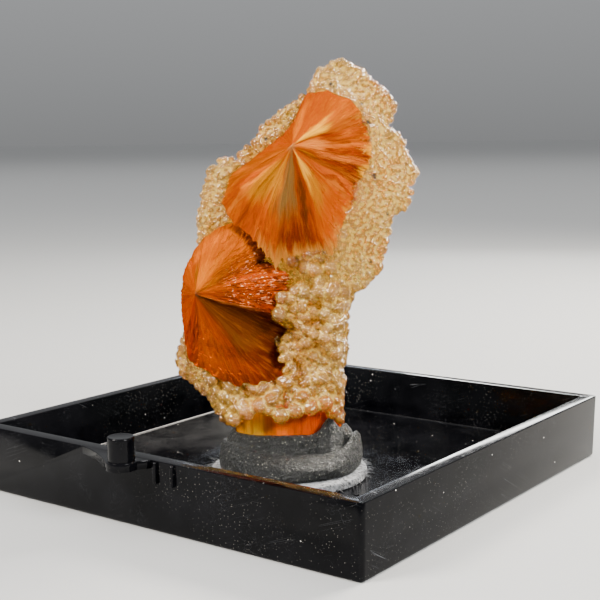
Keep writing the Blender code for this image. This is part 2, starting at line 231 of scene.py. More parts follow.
# %% World
world = bpy.data.worlds.new("studio")
world.use_nodes = True
sky = world.node_tree
direction = sky.nodes.new("ShaderNodeTexCoord").outputs["Generated"]
height = sky.nodes.new("ShaderNodeSeparateXYZ")
sky.links.new(direction, height.inputs["Vector"])
fade = sky.nodes.new("ShaderNodeValToRGB")
sky.links.new(height.outputs["Z"], fade.inputs["Fac"])
fade.color_ramp.elements[0].color = (0.3, 0.305, 0.31, 1)
fade.color_ramp.elements[1].position = 0.6
fade.color_ramp.elements[1].color = (0.95, 0.97, 1.0, 1)
sky.links.new(fade.outputs["Color"], sky.nodes["Background"].inputs["Color"])
sky.nodes["Background"].inputs["Strength"].default_value = 0.8
bpy.context.scene.world = world

# %% [markdown]
# ## Finishes
# Colours are given as they look on a screen, from 0 to 255, and turned into the linear values that a shader
# wants. The finish of every piece reads Object coordinates in metres, and a Mapping node scales them to
# millimetres. The scolecite also reads a UV map of its own, because its streaks follow the blades. The
# chalcedony also reads values that are kept on its vertices: its painted orange glow, its grooves, which are
# painted paler as a painted glow, and, on the plate, a few dark specks.

# %% Finish helpers
TO_MM = (1000, 1000, 1000)
# The Mix node repeats its socket names for numbers, vectors and colours, so its colour sockets go by number.
MIX_AMOUNT, MIX_FIRST, MIX_SECOND, MIX_RESULT = 0, 6, 7, 2


def paint(r, g, b):
    return tuple((c / 255) ** 2.2 for c in (r, g, b)) + (1.0,)


class Finish:
    """A material with its shader, and short calls that add and link nodes."""

    def __init__(self, name):
        self.material = bpy.data.materials.new(name)
        self.material.use_nodes = True
        self.tree = self.material.node_tree
        self.shader = self.tree.nodes["Principled BSDF"]

    def set(self, **values):
        for key, value in values.items():
            self.shader.inputs[key.replace("_", " ")].default_value = value

    def plug(self, socket, value):
        """Link a socket to another node's output, or set it to a plain value."""
        if isinstance(value, bpy.types.NodeSocket):
            self.tree.links.new(value, socket)
        else:
            socket.default_value = value

    def node(self, kind, **inputs):
        made = self.tree.nodes.new(kind)
        for key, value in inputs.items():
            self.plug(made.inputs[key.replace("_", " ")], value)
        return made

    def feed(self, value, name):
        self.tree.links.new(value, self.shader.inputs[name])

    def place(self, scale=TO_MM, turn=(0, 0, 0)):
        """Object coordinates, turned and then scaled. One Mapping node alone would scale before it turns."""
        coords = self.tree.nodes.new("ShaderNodeTexCoord").outputs["Object"]
        turned = self.node("ShaderNodeMapping", Vector=coords, Rotation=turn)
        return self.node("ShaderNodeMapping", Vector=turned.outputs["Vector"], Scale=scale).outputs["Vector"]

    def noise(self, vector, scale, detail=3.0, roughness=0.5):
        made = self.node("ShaderNodeTexNoise", Vector=vector, Scale=scale, Detail=detail, Roughness=roughness)
        return made.outputs["Fac"]

    def cells(self, vector, scale):
        """How far a place is from the middle of its cell."""
        return self.node("ShaderNodeTexVoronoi", Vector=vector, Scale=scale).outputs["Distance"]

    def ramp(self, value, stops):
        made = self.node("ShaderNodeValToRGB", Fac=value)
        elements = made.color_ramp.elements
        while len(elements) < len(stops):
            elements.new(0.5)
        for element, (where, colour) in zip(elements, stops):
            element.position = where
            element.color = colour
        return made.outputs["Color"]

    def grey(self, value, low, high, dark=0.0, light=1.0):
        """A value stretched from low..high to dark..light."""
        span = {"From_Min": low, "From_Max": high, "To_Min": dark, "To_Max": light}
        return self.node("ShaderNodeMapRange", Value=value, **span).outputs["Result"]

    def blend(self, amount, first, second):
        made = self.tree.nodes.new("ShaderNodeMix")
        made.data_type = "RGBA"
        for socket, value in ((MIX_AMOUNT, amount), (MIX_FIRST, first), (MIX_SECOND, second)):
            self.plug(made.inputs[socket], value)
        return made.outputs[MIX_RESULT]

    def combine(self, first, second, how="ADD"):
        """Two values added, or put through another kind of sum."""
        made = self.tree.nodes.new("ShaderNodeMath")
        made.operation = how
        self.plug(made.inputs[0], first)
        self.plug(made.inputs[1], second)
        return made.outputs[0]

    def times(self, first, second):
        return self.combine(first, second, "MULTIPLY")

    def spots(self, at, scale, fade, patch, patch_fade):
        """Round spots, one to a cell, kept only where a noise with a grain of its own is high."""
        spot = self.grey(self.cells(at, scale), *fade, 1.0, 0.0)
        return self.times(spot, self.grey(self.noise(at, *patch), *patch_fade))

    def bump(self, height, strength, distance):
        made = self.node("ShaderNodeBump", Height=height, Strength=strength, Distance=distance)
        self.feed(made.outputs["Normal"], "Normal")

    def done(self):
        print(self.material.name, "has", len(self.tree.nodes), "shader nodes")
        return self.material


# %% [markdown]
# ## The tray
# The tray is thin moulded plastic: flat walls with a little draft, a soft foot edge and a crisp rim. A cube's
# top is inset for the wall and pushed down for the hollow, as one would by hand, and its edges are beveled.
# The peg stands on a lug that swells out of the wall. The finish is black gloss that carries hairline
# scratches, dust specks and a faint haze.

# %% Black plastic
HAIRLINE = (16, 3600, 3600)
WORN_PATCH = (400, 400, 400)

plastic = Finish("black tray plastic")
at = plastic.place()
haze = plastic.noise(at, 0.35, 4.0, 0.6)
speck = plastic.spots(at, 1.1, (0.03, 0.06), (0.5, 2.0), (0.5, 0.6))
dust = plastic.spots(at, 5.0, (0.06, 0.16), (0.16, 3.0), (0.5, 0.66))
# A noise drawn out along X gives hairlines. Each set is turned its own way, and a second noise breaks it up.
scratches = 0.0
for turned in ((0, 0, 0.45), (0, 0.35, 0), (0.5, 0, math.pi / 2)):
    line = plastic.noise(plastic.place(HAIRLINE, turned), 1.0, 0.0)
    line = plastic.times(plastic.grey(line, 0.497, 0.5), plastic.grey(line, 0.5, 0.503, 1.0, 0.0))
    worn = plastic.grey(plastic.noise(plastic.place(WORN_PATCH, turned), 1.0, 1.0), 0.56, 0.64)
    scratches = plastic.combine(scratches, plastic.times(line, worn), "MAXIMUM")
base = plastic.blend(plastic.grey(haze, 0.35, 0.75), paint(6, 6, 8), paint(17, 17, 19))
base = plastic.blend(plastic.times(scratches, 0.24), base, paint(130, 132, 136))
base = plastic.blend(plastic.times(dust, 0.45), base, paint(150, 146, 138))
base = plastic.blend(speck, base, paint(215, 212, 205))
plastic.feed(base, "Base Color")
raised = plastic.times(speck, 0.5)
plastic.feed(plastic.combine(plastic.grey(haze, 0.3, 0.8, 0.07, 0.2), raised), "Roughness")
plastic.bump(plastic.combine(raised, scratches, "SUBTRACT"), 0.2, 0.00002)
plastic.set(IOR=1.35, Specular_IOR_Level=0.18)
black_plastic = plastic.done()

# %% Tray walls and floor
TRAY_SIDE = 31.96 * MM
TRAY_HEIGHT = 4.57 * MM
TRAY_WALL = 0.95 * MM
TRAY_FLOOR = 0.95 * MM
TRAY_DRAFT = 0.11 * MM
HALF = TRAY_SIDE / 2
CLOSE = 0.01 * MM

put_down()
bpy.ops.mesh.primitive_cube_add(size=1.0, location=(0, 0, TRAY_HEIGHT / 2))
tray = just_made("tray")
tray.scale = (TRAY_SIDE, TRAY_SIDE, TRAY_HEIGHT)
fix_scale(tray)
edit(tray)
pick(tray, "FACE", lambda middle, normal: normal.z < -0.9)
shrink = 1 - TRAY_DRAFT / HALF
bpy.ops.transform.resize(value=(shrink, shrink, 1))
pick(tray, "FACE", lambda middle, normal: normal.z > 0.9)
bpy.ops.mesh.inset(thickness=TRAY_WALL, depth=0)
bpy.ops.mesh.extrude_region_move(TRANSFORM_OT_translate={"value": (0, 0, TRAY_FLOOR - TRAY_HEIGHT)})
bpy.ops.transform.resize(value=(shrink, shrink, 1))
# In turn: the outer corners, the inner corners, the foot edge, the rim and the edge of the floor.
upright = 0.5 * TRAY_HEIGHT
bevel_edges(tray, lambda a, b: abs(a.z - b.z) > upright and abs(a.x) > HALF - 0.3 * MM, 0.35 * MM, 5)
bevel_edges(tray, lambda a, b: abs(a.z - b.z) > upright and abs(a.x) < HALF - 0.7 * MM, 0.16 * MM, 4)
bevel_edges(tray, lambda a, b: max(a.z, b.z) < CLOSE, 0.2 * MM, 3)
bevel_edges(tray, lambda a, b: min(a.z, b.z) > TRAY_HEIGHT - CLOSE, 0.05 * MM, 2)
bevel_edges(tray, lambda a, b: max(abs(a.z - TRAY_FLOOR), abs(b.z - TRAY_FLOOR)) < CLOSE, 0.12 * MM, 3)
put_down()

# %% Peg
PEG_X = -1.0 * MM
PEG_Y = -HALF - 1.05 * MM
PEG_TOP = TRAY_HEIGHT + 1.53 * MM
PEG_RADIUS = 0.85 * MM
PEG_HEIGHT = 1.83 * MM

peg_place = (PEG_X, PEG_Y, PEG_TOP - PEG_HEIGHT / 2)
bpy.ops.mesh.primitive_cylinder_add(vertices=64, radius=PEG_RADIUS, depth=PEG_HEIGHT, location=peg_place)
peg = just_made("peg")
fix_scale(peg)
edit(peg)
pick(peg, "FACE", lambda middle, normal: normal.z > 0.9)
bpy.ops.mesh.inset(thickness=0.2 * MM, depth=-0.05 * MM)
bevel_edges(peg, lambda a, b: min(a.z, b.z) > PEG_TOP - CLOSE / 2, 0.13 * MM, 4)
put_down()
print("peg top at", round(PEG_TOP / MM, 2), "mm")

# %% Lug, drawn as an outline and pulled up
LUG_RADIUS = 1.02 * MM
LUG_LEFT = -5.6 * MM
LUG_RIGHT = 0.45 * MM
LUG_DEPTH = 0.55 * MM
HAIR = 0.008 * MM

lug_edge = []
for step in range(25):
    angle = math.radians(20 - step * 6)
    lug_edge.append((PEG_X + LUG_RADIUS * math.cos(angle), PEG_Y + LUG_RADIUS * math.sin(angle)))
flare_from = Vector(lug_edge[-1])
flare_to = Vector((LUG_LEFT, -HALF))
flare_pull = Vector((-3.6 * MM, -HALF - 0.45 * MM))
for step in range(1, 13):
    t = step / 12
    point = (1 - t) ** 2 * flare_from + 2 * t * (1 - t) * flare_pull + t * t * flare_to
    lug_edge.append((point.x, point.y))
wall_inside = -HALF + 0.4 * MM
lug_edge += [(LUG_LEFT, wall_inside), (LUG_RIGHT, wall_inside), (LUG_RIGHT, -HALF - 0.08 * MM)]
lug_mesh = bpy.data.meshes.new("lug")
lug_z = TRAY_HEIGHT - LUG_DEPTH
lug_mesh.from_pydata([(x, y, lug_z) for x, y in lug_edge], [], [list(range(len(lug_edge)))])
lug = new_object("lug", lug_mesh)
edit(lug)
# The top stays a hair below the tray's rim, so that the union meets no two faces in one plane.
bpy.ops.mesh.extrude_region_move(TRANSFORM_OT_translate={"value": (0, 0, LUG_DEPTH - HAIR)})
bpy.ops.mesh.select_all(action="SELECT")
bpy.ops.mesh.normals_make_consistent(inside=False)
outer = -HALF - 0.02 * MM
bevel_edges(lug, lambda a, b: abs(a.z - b.z) < CLOSE and min(a.y, b.y) < outer, 0.05 * MM, 2)
print("lug drawn with", len(lug_edge), "points")

# %% Ribs
RIB_SIZE = (0.26 * MM, 0.46 * MM, 1.4 * MM)
RIB_MIDDLE = 3.8 * MM

ribs = []
for rib_x in (0.85 * MM, 2.25 * MM):
    put_down()
    bpy.ops.mesh.primitive_cube_add(size=1.0, location=(rib_x, -HALF, RIB_MIDDLE))
    rib = just_made("rib")
    rib.scale = RIB_SIZE
    fix_scale(rib)
    edit(rib)
    bpy.ops.mesh.bevel(offset=0.12 * MM, segments=5, affect="EDGES")
    ribs.append(rib)
unite(tray, [lug, peg] + ribs)
smooth_by_angle(tray, 40)
hand_in(tray, "box_base", black_plastic)

# %% [markdown]
# ## The felt disc
# The disc is cut from white needle felt. Its body is a low cylinder with soft edges, and its fuzz is real
# geometry: one tapered, bent fibre is modelled and copied over the top and round the edge.

# %% White felt
felt_white = Finish("white felt")
at = felt_white.place()
mottle = felt_white.noise(at, 3.0, 5.0, 0.7)
small_holes = felt_white.grey(felt_white.noise(at, 4.2, 2.0, 0.6), 0.36, 0.44, 1.0, 0.0)
holes = felt_white.spots(at, 2.4, (0.2, 0.4), (1.6, 3.0), (0.4, 0.5))
pits_with_shade = felt_white.combine(holes, small_holes, "MAXIMUM")
base = felt_white.blend(felt_white.grey(mottle, 0.3, 0.7), paint(60, 61, 62), paint(130, 131, 133))
# Painted shade: the pits and holes in the felt are painted near black, for the shade that falls in them.
base = felt_white.blend(felt_white.times(pits_with_shade, 0.92), base, paint(22, 22, 21))
felt_white.feed(base, "Base Color")
felt_white.bump(felt_white.combine(mottle, pits_with_shade, "SUBTRACT"), 0.8, 0.0001)
felt_white.set(Roughness=0.95, Sheen_Weight=0.3, Sheen_Roughness=0.4)
white_felt = felt_white.done()

# %% Felt body
DISC_X = 1.8 * MM
DISC_Y = -3.8 * MM
DISC_MIDDLE = Vector((DISC_X, DISC_Y))
DISC_RADIUS = 5.5 * MM
DISC_TOP = 1.5 * MM


def on_rim(a, b):
    """A short level edge at the rim of the disc."""
    far_out = min((p.xy - DISC_MIDDLE).length for p in (a, b)) > DISC_RADIUS - 0.2 * MM
    return far_out and abs(a.z - b.z) < CLOSE and (a.xy - b.xy).length < 0.5 * MM


put_down()
bpy.ops.mesh.primitive_cylinder_add(
    vertices=96, radius=DISC_RADIUS - 0.1 * MM, depth=DISC_TOP - TRAY_FLOOR,
    location=(DISC_X, DISC_Y, (DISC_TOP + TRAY_FLOOR) / 2),
)
felt = just_made("felt_pad")
fix_scale(felt)
edit(felt)
pick(felt, "FACE", lambda middle, normal: abs(normal.z) > 0.9)
for ring in range(5):
    bpy.ops.mesh.inset(thickness=0.9 * MM, depth=0)
bevel_edges(felt, on_rim, 0.12 * MM, 2)
bpy.ops.mesh.select_all(action="SELECT")
bpy.ops.mesh.quads_convert_to_tris()
bpy.ops.mesh.subdivide(number_cuts=2)
put_down()
for vertex in felt.data.vertices:
    if vertex.co.z > TRAY_FLOOR + 0.1 * MM:
        vertex.co.z += 0.05 * MM * noise.noise(vertex.co / (0.35 * MM))
        away = vertex.co.xy - DISC_MIDDLE
        if away.length > DISC_RADIUS - 0.6 * MM:
            fray = noise.noise(vertex.co / (0.5 * MM) + Vector((3, 1, 7)))
            vertex.co.xy += away.normalized() * 0.12 * MM * fray
print("felt body has", len(felt.data.polygons), "faces")

# %% Felt fibres
FIBRES = 950
EDGE_FIBRES = 560

bpy.ops.mesh.primitive_cone_add(vertices=3, radius1=0.022 * MM, radius2=0.006 * MM, depth=1 * MM)
fibre = just_made("fibre")
for cut in (-0.25, 0.0, 0.25):
    edit(fibre)
    bpy.ops.mesh.bisect(plane_co=(0, 0, cut * MM), plane_no=(0, 0, 1))
put_down()
for vertex in fibre.data.vertices:
    rise = vertex.co.z / MM + 0.5
    vertex.co.z += 0.5 * MM
    vertex.co.x += 0.3 * rise * rise * MM

pick_fibre = random.Random(4)
fibres = []
for number in range(FIBRES):
    around = pick_fibre.uniform(0, 2 * math.pi)
    if number < EDGE_FIBRES:
        reach = DISC_RADIUS - pick_fibre.uniform(0.05, 0.5) * MM
        root = pick_fibre.uniform(1.15, 1.45) * MM
        lean = pick_fibre.uniform(55, 88)
        heading = around + pick_fibre.gauss(0, 0.6)
        length = pick_fibre.uniform(0.25, 0.7)
    else:
        reach = DISC_RADIUS * math.sqrt(pick_fibre.random())
        root = DISC_TOP - 0.04 * MM
        lean = pick_fibre.uniform(60, 85)
        heading = pick_fibre.uniform(0, 2 * math.pi)
        length = pick_fibre.uniform(0.3, 0.6)
    spot = Vector((DISC_X + reach * math.cos(around), DISC_Y + reach * math.sin(around), root))
    turn = Matrix.Rotation(heading, 4, "Z") @ Matrix.Rotation(math.radians(lean), 4, "Y")
    spin = Matrix.Rotation(pick_fibre.uniform(-1.2, 1.2), 4, "Z")
    copy = new_object("fibre", fibre.data.copy())
    copy.data.transform(Matrix.Translation(spot) @ turn @ spin @ Matrix.Diagonal((1, 1, length, 1)))
    fibres.append(copy)
take(felt)
for copy in fibres:
    copy.select_set(True)
bpy.ops.object.join()
bpy.data.objects.remove(fibre, do_unlink=True)
smooth_by_angle(felt, 60)
hand_in(felt, "felt_disc", white_felt)

# %% [markdown]
# ## The putty
# Mineral putty is rolled in the fingers, laid as a coil and pressed against the stone. A flat grid is wrapped
# round: one way runs round the coil, the other over it, from the foot across the coil's top and the dent
# behind it to the ridge at the stone. The ridge climbs to a pinched fold at the right.

# %% Grey putty
putty_grey = Finish("grey putty")
at = putty_grey.place()
patches = putty_grey.noise(at, 0.6, 3.0, 0.6)
grain = putty_grey.noise(at, 5.5, 4.0, 0.75)
glint_flecks = putty_grey.spots(at, 4.6, (0.14, 0.26), (2.0, 2.0), (0.46, 0.56))
base = putty_grey.blend(putty_grey.grey(patches, 0.3, 0.7), paint(11, 12, 10), paint(19, 20, 18))
base = putty_grey.blend(putty_grey.grey(grain, 0.54, 0.7), base, paint(48, 49, 45))
# Painted highlights: small pale flecks stand in for glints on the grain. They are raised a little in the bump
# as well.
base = putty_grey.blend(putty_grey.times(glint_flecks, 0.7), base, paint(150, 147, 134))
putty_grey.feed(base, "Base Color")
putty_grey.feed(putty_grey.grey(grain, 0.35, 0.65, 0.4, 0.22), "Roughness")
putty_grey.bump(putty_grey.combine(grain, putty_grey.times(glint_flecks, 0.25)), 1.0, 0.00024)
putty_grey.set(IOR=1.5, Specular_IOR_Level=0.42)
grey_putty = putty_grey.done()

# %% Where the specimen stands
MOUNT = Vector((1.8, -3.6, 0.0)) * MM
MOUNT_TURN = math.radians(37.22)
stand = Matrix.Translation(MOUNT) @ Matrix.Rotation(MOUNT_TURN, 4, "Z")


def hill(angle, centre, width):
    away = (math.degrees(angle) - centre + 180) % 360 - 180
    return math.exp(-((away / width) ** 2))


# %% Putty profile
def putty_profile(angle):
    """Points over the coil at an angle: how far out from the stone (0) to the rim (1), and how high in mm."""
    fold = 1.1 * hill(angle, 313, 12) + 0.5 * hill(angle, 345, 20)
    crest = 2.55 + fold + 0.12 * hill(angle, 205, 30) + 0.07 * math.sin(3 * angle)
    coil = 1.7 + 0.08 * math.sin(2 * angle + 0.6) + 0.8 * hill(angle, 348, 24) + 0.35 * hill(angle, 205, 34)
    front = hill(angle, 268, 40)
    slot = hill(angle, 331, 7)
    dent = coil - 0.12 - 0.75 * hill(angle, 277, 22) - 1.3 * slot - 0.25 * hill(angle, 300, 10)
    top = 0.72 - 0.10 * front
    return [
        (0.84, 0.0), (0.93, 0.05 * coil), (0.985, 0.2 * coil), (1.0, 0.4 * coil), (0.98, 0.58 * coil),
        (0.93 - 0.03 * front, 0.75 * coil), (top + 0.13, 0.92 * coil), (top + 0.04, 0.99 * coil),
        (top - 0.04, coil), (top - 0.11, coil - 0.3 * (coil - dent)), (top - 0.17, dent),
        (top - 0.25, dent + 0.08 * (crest - dent)), (top - 0.33, dent + 0.45 * (crest - dent)),
        (0.26, dent + 0.85 * (crest - dent)), (0.18, crest), (0.08, crest - 0.02), (0.02, crest - 0.2),
        (0.0, crest - 0.7), (0.0, 0.55),
    ]


def smooth_between(points, along):
    """A place on a smooth curve through the points. along counts points, from the first one."""
    last = len(points) - 1
    i = min(int(along), last - 1)
    t = along - i
    before, a, b, after = (points[max(0, min(last, i + k))] for k in (-1, 0, 1, 2))
    found = []
    for k in range(2):
        bend = (2 * a[k] + (b[k] - before[k]) * t + (2 * before[k] - 5 * a[k] + 4 * b[k] - after[k]) * t * t
                + (3 * a[k] - before[k] - 3 * b[k] + after[k]) * t ** 3)
        found.append(bend / 2)
    return found


# %% Putty coil
PUTTY_FOOT = DISC_TOP - 0.02 * MM
ROUND = 300
OVER = 110

put_down()
bpy.ops.mesh.primitive_grid_add(x_subdivisions=ROUND, y_subdivisions=OVER, size=1.0)
putty = just_made("putty_coil")
for vertex in putty.data.vertices:
    angle = (vertex.co.x + 0.5) * 2 * math.pi
    profile = putty_profile(angle)
    along = (vertex.co.y + 0.5) * (len(profile) - 1)
    out, high = smooth_between(profile, along)
    c, s = math.cos(angle), math.sin(angle)
    rim = 4.87 + 0.07 * math.sin(4 * angle + 1) + 0.05 * math.sin(7 * angle)
    near = Vector((3.75 * c, 1.7 * s + 0.3))
    far = Vector((rim * c, rim * s * (1 - 0.06 * abs(s))))
    flat = near + (far - near) * out
    spot = Vector((flat.x * MM, flat.y * MM, PUTTY_FOOT + high * MM))
    press = 0.09 * noise.noise(spot / (1.4 * MM)) + 0.045 * noise.noise(spot / (0.5 * MM))
    press += 0.05 * noise.noise(spot / (0.2 * MM))
    crumple = math.exp(-((flat.x - 1.5) ** 2 + (flat.y + 2.4) ** 2) / 0.25)
    press += 0.22 * crumple * noise.noise(spot / (0.34 * MM) + Vector((5, 2, 9)))
    if 0.04 < along / (len(profile) - 1) < 0.9:
        spot += Vector((c, s, 0.6)) * press * MM
    vertex.co = spot
close_up(putty, 0.001 * MM)
putty.data.transform(stand)
smooth_by_angle(putty, 70)
hand_in(putty, "mounting_putty", grey_putty)

# %% [markdown]
# ## The specimen's own frame
# The stone is worked out as one sees it from the front: x to the right, z up and y away, in millimetres.
# Outlines were measured on the view that the camera has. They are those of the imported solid, so the fine
# pieces keep its form. Only three points of the lower spray's rim lie further out here, by up to 0.8 mm, and
# there are more single lumps, some of them smaller.

# %% Outlines of the stone
PLATE = [
    (3.7, 29.3), (5.0, 28.6), (6.8, 27.2), (7.5, 26.0), (7.1, 24.8), (7.8, 24.0), (8.4, 22.8), (9.0, 21.8),
    (8.6, 20.6), (8.2, 19.3), (7.3, 18.6), (6.9, 17.3), (6.3, 15.0), (5.4, 13.9), (4.5, 13.5), (4.2, 11.6),
    (4.1, 9.6), (3.8, 8.4), (3.9, 7.0), (3.6, 6.3), (3.9, 5.2), (3.6, 4.2), (-4.0, 4.2), (-4.7, 4.6),
    (-5.8, 6.5), (-7.5, 7.9), (-7.9, 8.8), (-7.5, 10.2), (-7.1, 11.6), (-6.6, 13.3), (-6.4, 15.0),
    (-6.2, 16.9), (-6.2, 18.6), (-5.6, 21.1), (-5.3, 22.2), (-4.3, 22.9), (-3.4, 22.9), (-2.5, 23.7),
    (-1.5, 25.0), (0.2, 26.4), (1.3, 27.0), (2.0, 28.4), (2.9, 29.0),
]
CLUSTER = [
    (0.8, 14.4), (2.6, 14.6), (3.7, 13.7), (3.9, 12.0), (3.7, 8.0), (3.5, 5.2), (2.2, 5.6), (0.9, 8.0),
    (1.0, 9.2), (0.4, 10.9), (-1.0, 12.1), (-0.6, 13.7),
]
CURTAIN = [
    (-6.0, 8.6), (-4.0, 7.9), (-1.7, 7.8), (0.9, 8.4), (2.6, 8.0), (2.5, 5.7), (1.2, 5.4), (-0.5, 5.1),
    (-2.2, 5.6), (-3.5, 5.0), (-5.0, 5.9),
]
# A single lump is given by x, z, how far forward it lies and its radius, a dark speck by x, z and radius.
SINGLE_LUMPS = [
    (-0.4, 10.0, 1.5, 0.36), (-0.1, 9.4, 1.5, 0.40), (0.1, 8.8, 1.5, 0.40), (0.4, 8.2, 1.5, 0.40),
    (-0.5, 9.3, 1.5, 0.30), (-0.2, 8.5, 1.5, 0.32), (0.4, 15.8, 1.0, 0.4), (1.1, 15.5, 1.2, 0.55),
    (1.8, 15.3, 1.4, 0.58), (2.8, 15.4, 1.2, 0.55), (2.3, 16.1, 1.1, 0.3), (0.9, 14.1, 1.3, 0.55),
    (2.1, 14.4, 1.5, 0.45), (3.0, 14.2, 1.5, 0.45), (3.7, 13.7, 0.7, 0.5), (-0.4, 13.5, 1.7, 0.52),
    (-0.6, 12.4, 1.9, 0.58), (3.6, 12.8, 0.8, 0.45), (3.6, 11.8, 0.8, 0.45), (-2.9, 5.7, 1.6, 0.62),
    (-2.0, 6.2, 1.8, 0.6), (-0.6, 5.5, 1.9, 0.62), (0.4, 5.8, 1.9, 0.6), (1.4, 6.0, 1.8, 0.62),
    (2.4, 6.2, 1.5, 0.6), (-3.8, 5.2, 1.3, 0.6), (-1.4, 5.9, 1.8, 0.5), (-1.2, 6.6, 1.9, 0.55),
    (0.9, 6.7, 1.8, 0.5), (-4.4, 5.6, 0.8, 0.5), (2.9, 5.5, 1.2, 0.5), (0.15, 10.85, 0.8, 0.5),
    (1.3, 8.9, 0.9, 0.45), (1.7, 8.2, 0.9, 0.5), (1.2, 7.9, 1.0, 0.45), (2.3, 8.9, 0.8, 0.5),
    (1.9, 9.6, 0.9, 0.45), (-0.2, 10.5, 1.1, 0.42), (0.2, 10.0, 1.1, 0.45), (0.5, 9.6, 1.1, 0.42),
    (0.8, 9.2, 1.05, 0.42), (0.7, 10.1, 1.2, 0.45), (1.0, 8.8, 1.0, 0.4), (1.1, 8.4, 1.0, 0.42),
    (1.0, 9.6, 1.1, 0.4),
]
SPECKS = [
    (-1.34, 23.99, 0.13), (3.01, 27.51, 0.13), (3.2, 27.35, 0.08), (5.05, 26.2, 0.1), (5.43, 25.01, 0.14),
    (5.6, 24.9, 0.09), (5.83, 21.5, 0.15), (5.9, 21.3, 0.1), (6.74, 18.89, 0.1), (5.6, 15.66, 0.1),
    (-6.46, 9.82, 0.1), (-4.82, 7.63, 0.12),
]

# %% Apex and rim of each spray, with how far forward each point lies
UPPER_APEX = (0.35, 23.5, 3.9)
UPPER_RIM = [
    (1.6, 26.9, 0.7), (2.9, 27.1, 0.6), (4.2, 26.6, 0.6), (5.4, 25.5, 0.5), (5.6, 24.1, 0.5),
    (5.7, 22.8, 0.5), (5.0, 21.2, 0.6), (4.4, 19.7, 0.8), (3.6, 17.8, 1.2), (3.1, 16.3, 1.6),
    (2.1, 16.5, 1.8), (0.1, 16.1, 2.1), (-0.8, 15.6, 2.2), (-1.5, 16.7, 2.0), (-2.7, 17.7, 1.7),
    (-3.6, 18.4, 1.5), (-4.3, 19.8, 1.2), (-3.9, 21.1, 1.1), (-3.5, 21.8, 1.0), (-1.9, 23.1, 1.0),
    (-0.1, 24.3, 1.0), (0.8, 25.4, 0.9), (1.2, 26.3, 0.8),
]
LOWER_APEX = (-6.0, 14.1, 4.0)
LOWER_RIM = [
    (-6.4, 16.4, 0.9), (-5.4, 17.7, 0.8), (-3.4, 18.5, 0.7), (-1.9, 17.1, 0.7), (-0.9, 15.9, 0.7),
    (0.1, 15.2, 0.7), (-0.4, 13.2, 1.2), (-0.8, 11.5, 1.4), (0.2, 10.7, 1.0), (0.9, 9.4, 0.8),
    (0.7, 8.2, 0.9), (-1.3, 7.6, 1.2), (-3.3, 7.5, 1.4), (-5.0, 7.9, 1.3), (-6.1, 9.0, 1.2),
    (-6.9, 10.2, 1.1), (-7.1, 12.6, 1.1), (-7.2, 13.8, 1.2), (-6.9, 15.6, 1.0),
]
to_tray = stand @ Matrix.Diagonal((MM, MM, MM, 1))
upper_flat = [(x, z) for x, z, forward in UPPER_RIM]
lower_flat = [(x, z) for x, z, forward in LOWER_RIM]
print("outlines with", len(PLATE), len(CLUSTER), len(CURTAIN), len(UPPER_RIM), len(LOWER_RIM), "points")


# %% Geometry helpers for outlines
def inside(outline, x, z):
    hit = False
    for (ax, az), (bx, bz) in zip(outline, outline[1:] + outline[:1]):
        if (az > z) != (bz > z) and x < ax + (z - az) * (bx - ax) / (bz - az):
            hit = not hit
    return hit


def well_inside(outline, x, z, room):
    sides = [math.radians(45 * i) for i in range(8)]
    return all(inside(outline, x + room * math.cos(a), z + room * math.sin(a)) for a in sides)


def along_edge(outline, spacing):
    found = []
    for (ax, az), (bx, bz) in zip(outline, outline[1:] + outline[:1]):
        a, b = Vector((ax, az)), Vector((bx, bz))
        inward = Vector(((b - a).y, -(b - a).x)).normalized()
        count = max(1, round((b - a).length / spacing))
        found += [(a.lerp(b, (i + 0.5) / count), inward) for i in range(count)]
    return found


def spread(outline, spacing, rng, room=0.3, keep_out=()):
    xs, zs = zip(*outline)
    row = 0
    z = min(zs)
    while z < max(zs):
        x = min(xs) + (row % 2) * spacing / 2
        while x < max(xs):
            px = x + rng.uniform(-0.3, 0.3) * spacing
            pz = z + rng.uniform(-0.3, 0.3) * spacing
            if well_inside(outline, px, pz, room) and not any(inside(o, px, pz) for o in keep_out):
                yield px, pz
            x += spacing
        z += spacing * 0.87
        row += 1


# %% [markdown]
# ## Chalcedony
# Chalcedony grows as round, translucent lumps that run together. One lump is modelled as a ball and copied,
# each copy with its own mesh: large ones on the edge, middling ones on the back with smaller ones between
# them, and small ones on the front. A slab behind them holds them together, a voxel remesh grows them into
# one skin, and two displacements give the fine sugary grain. The stone is clear on the tops of its grains
# and milky in the grooves, which is what keeps the grains apart to the eye. The grooves are also painted
# paler: a painted glow that stands in for the light at the edges of the grains.

# %% Cream chalcedony
GROOVE_GLOW = 0.8


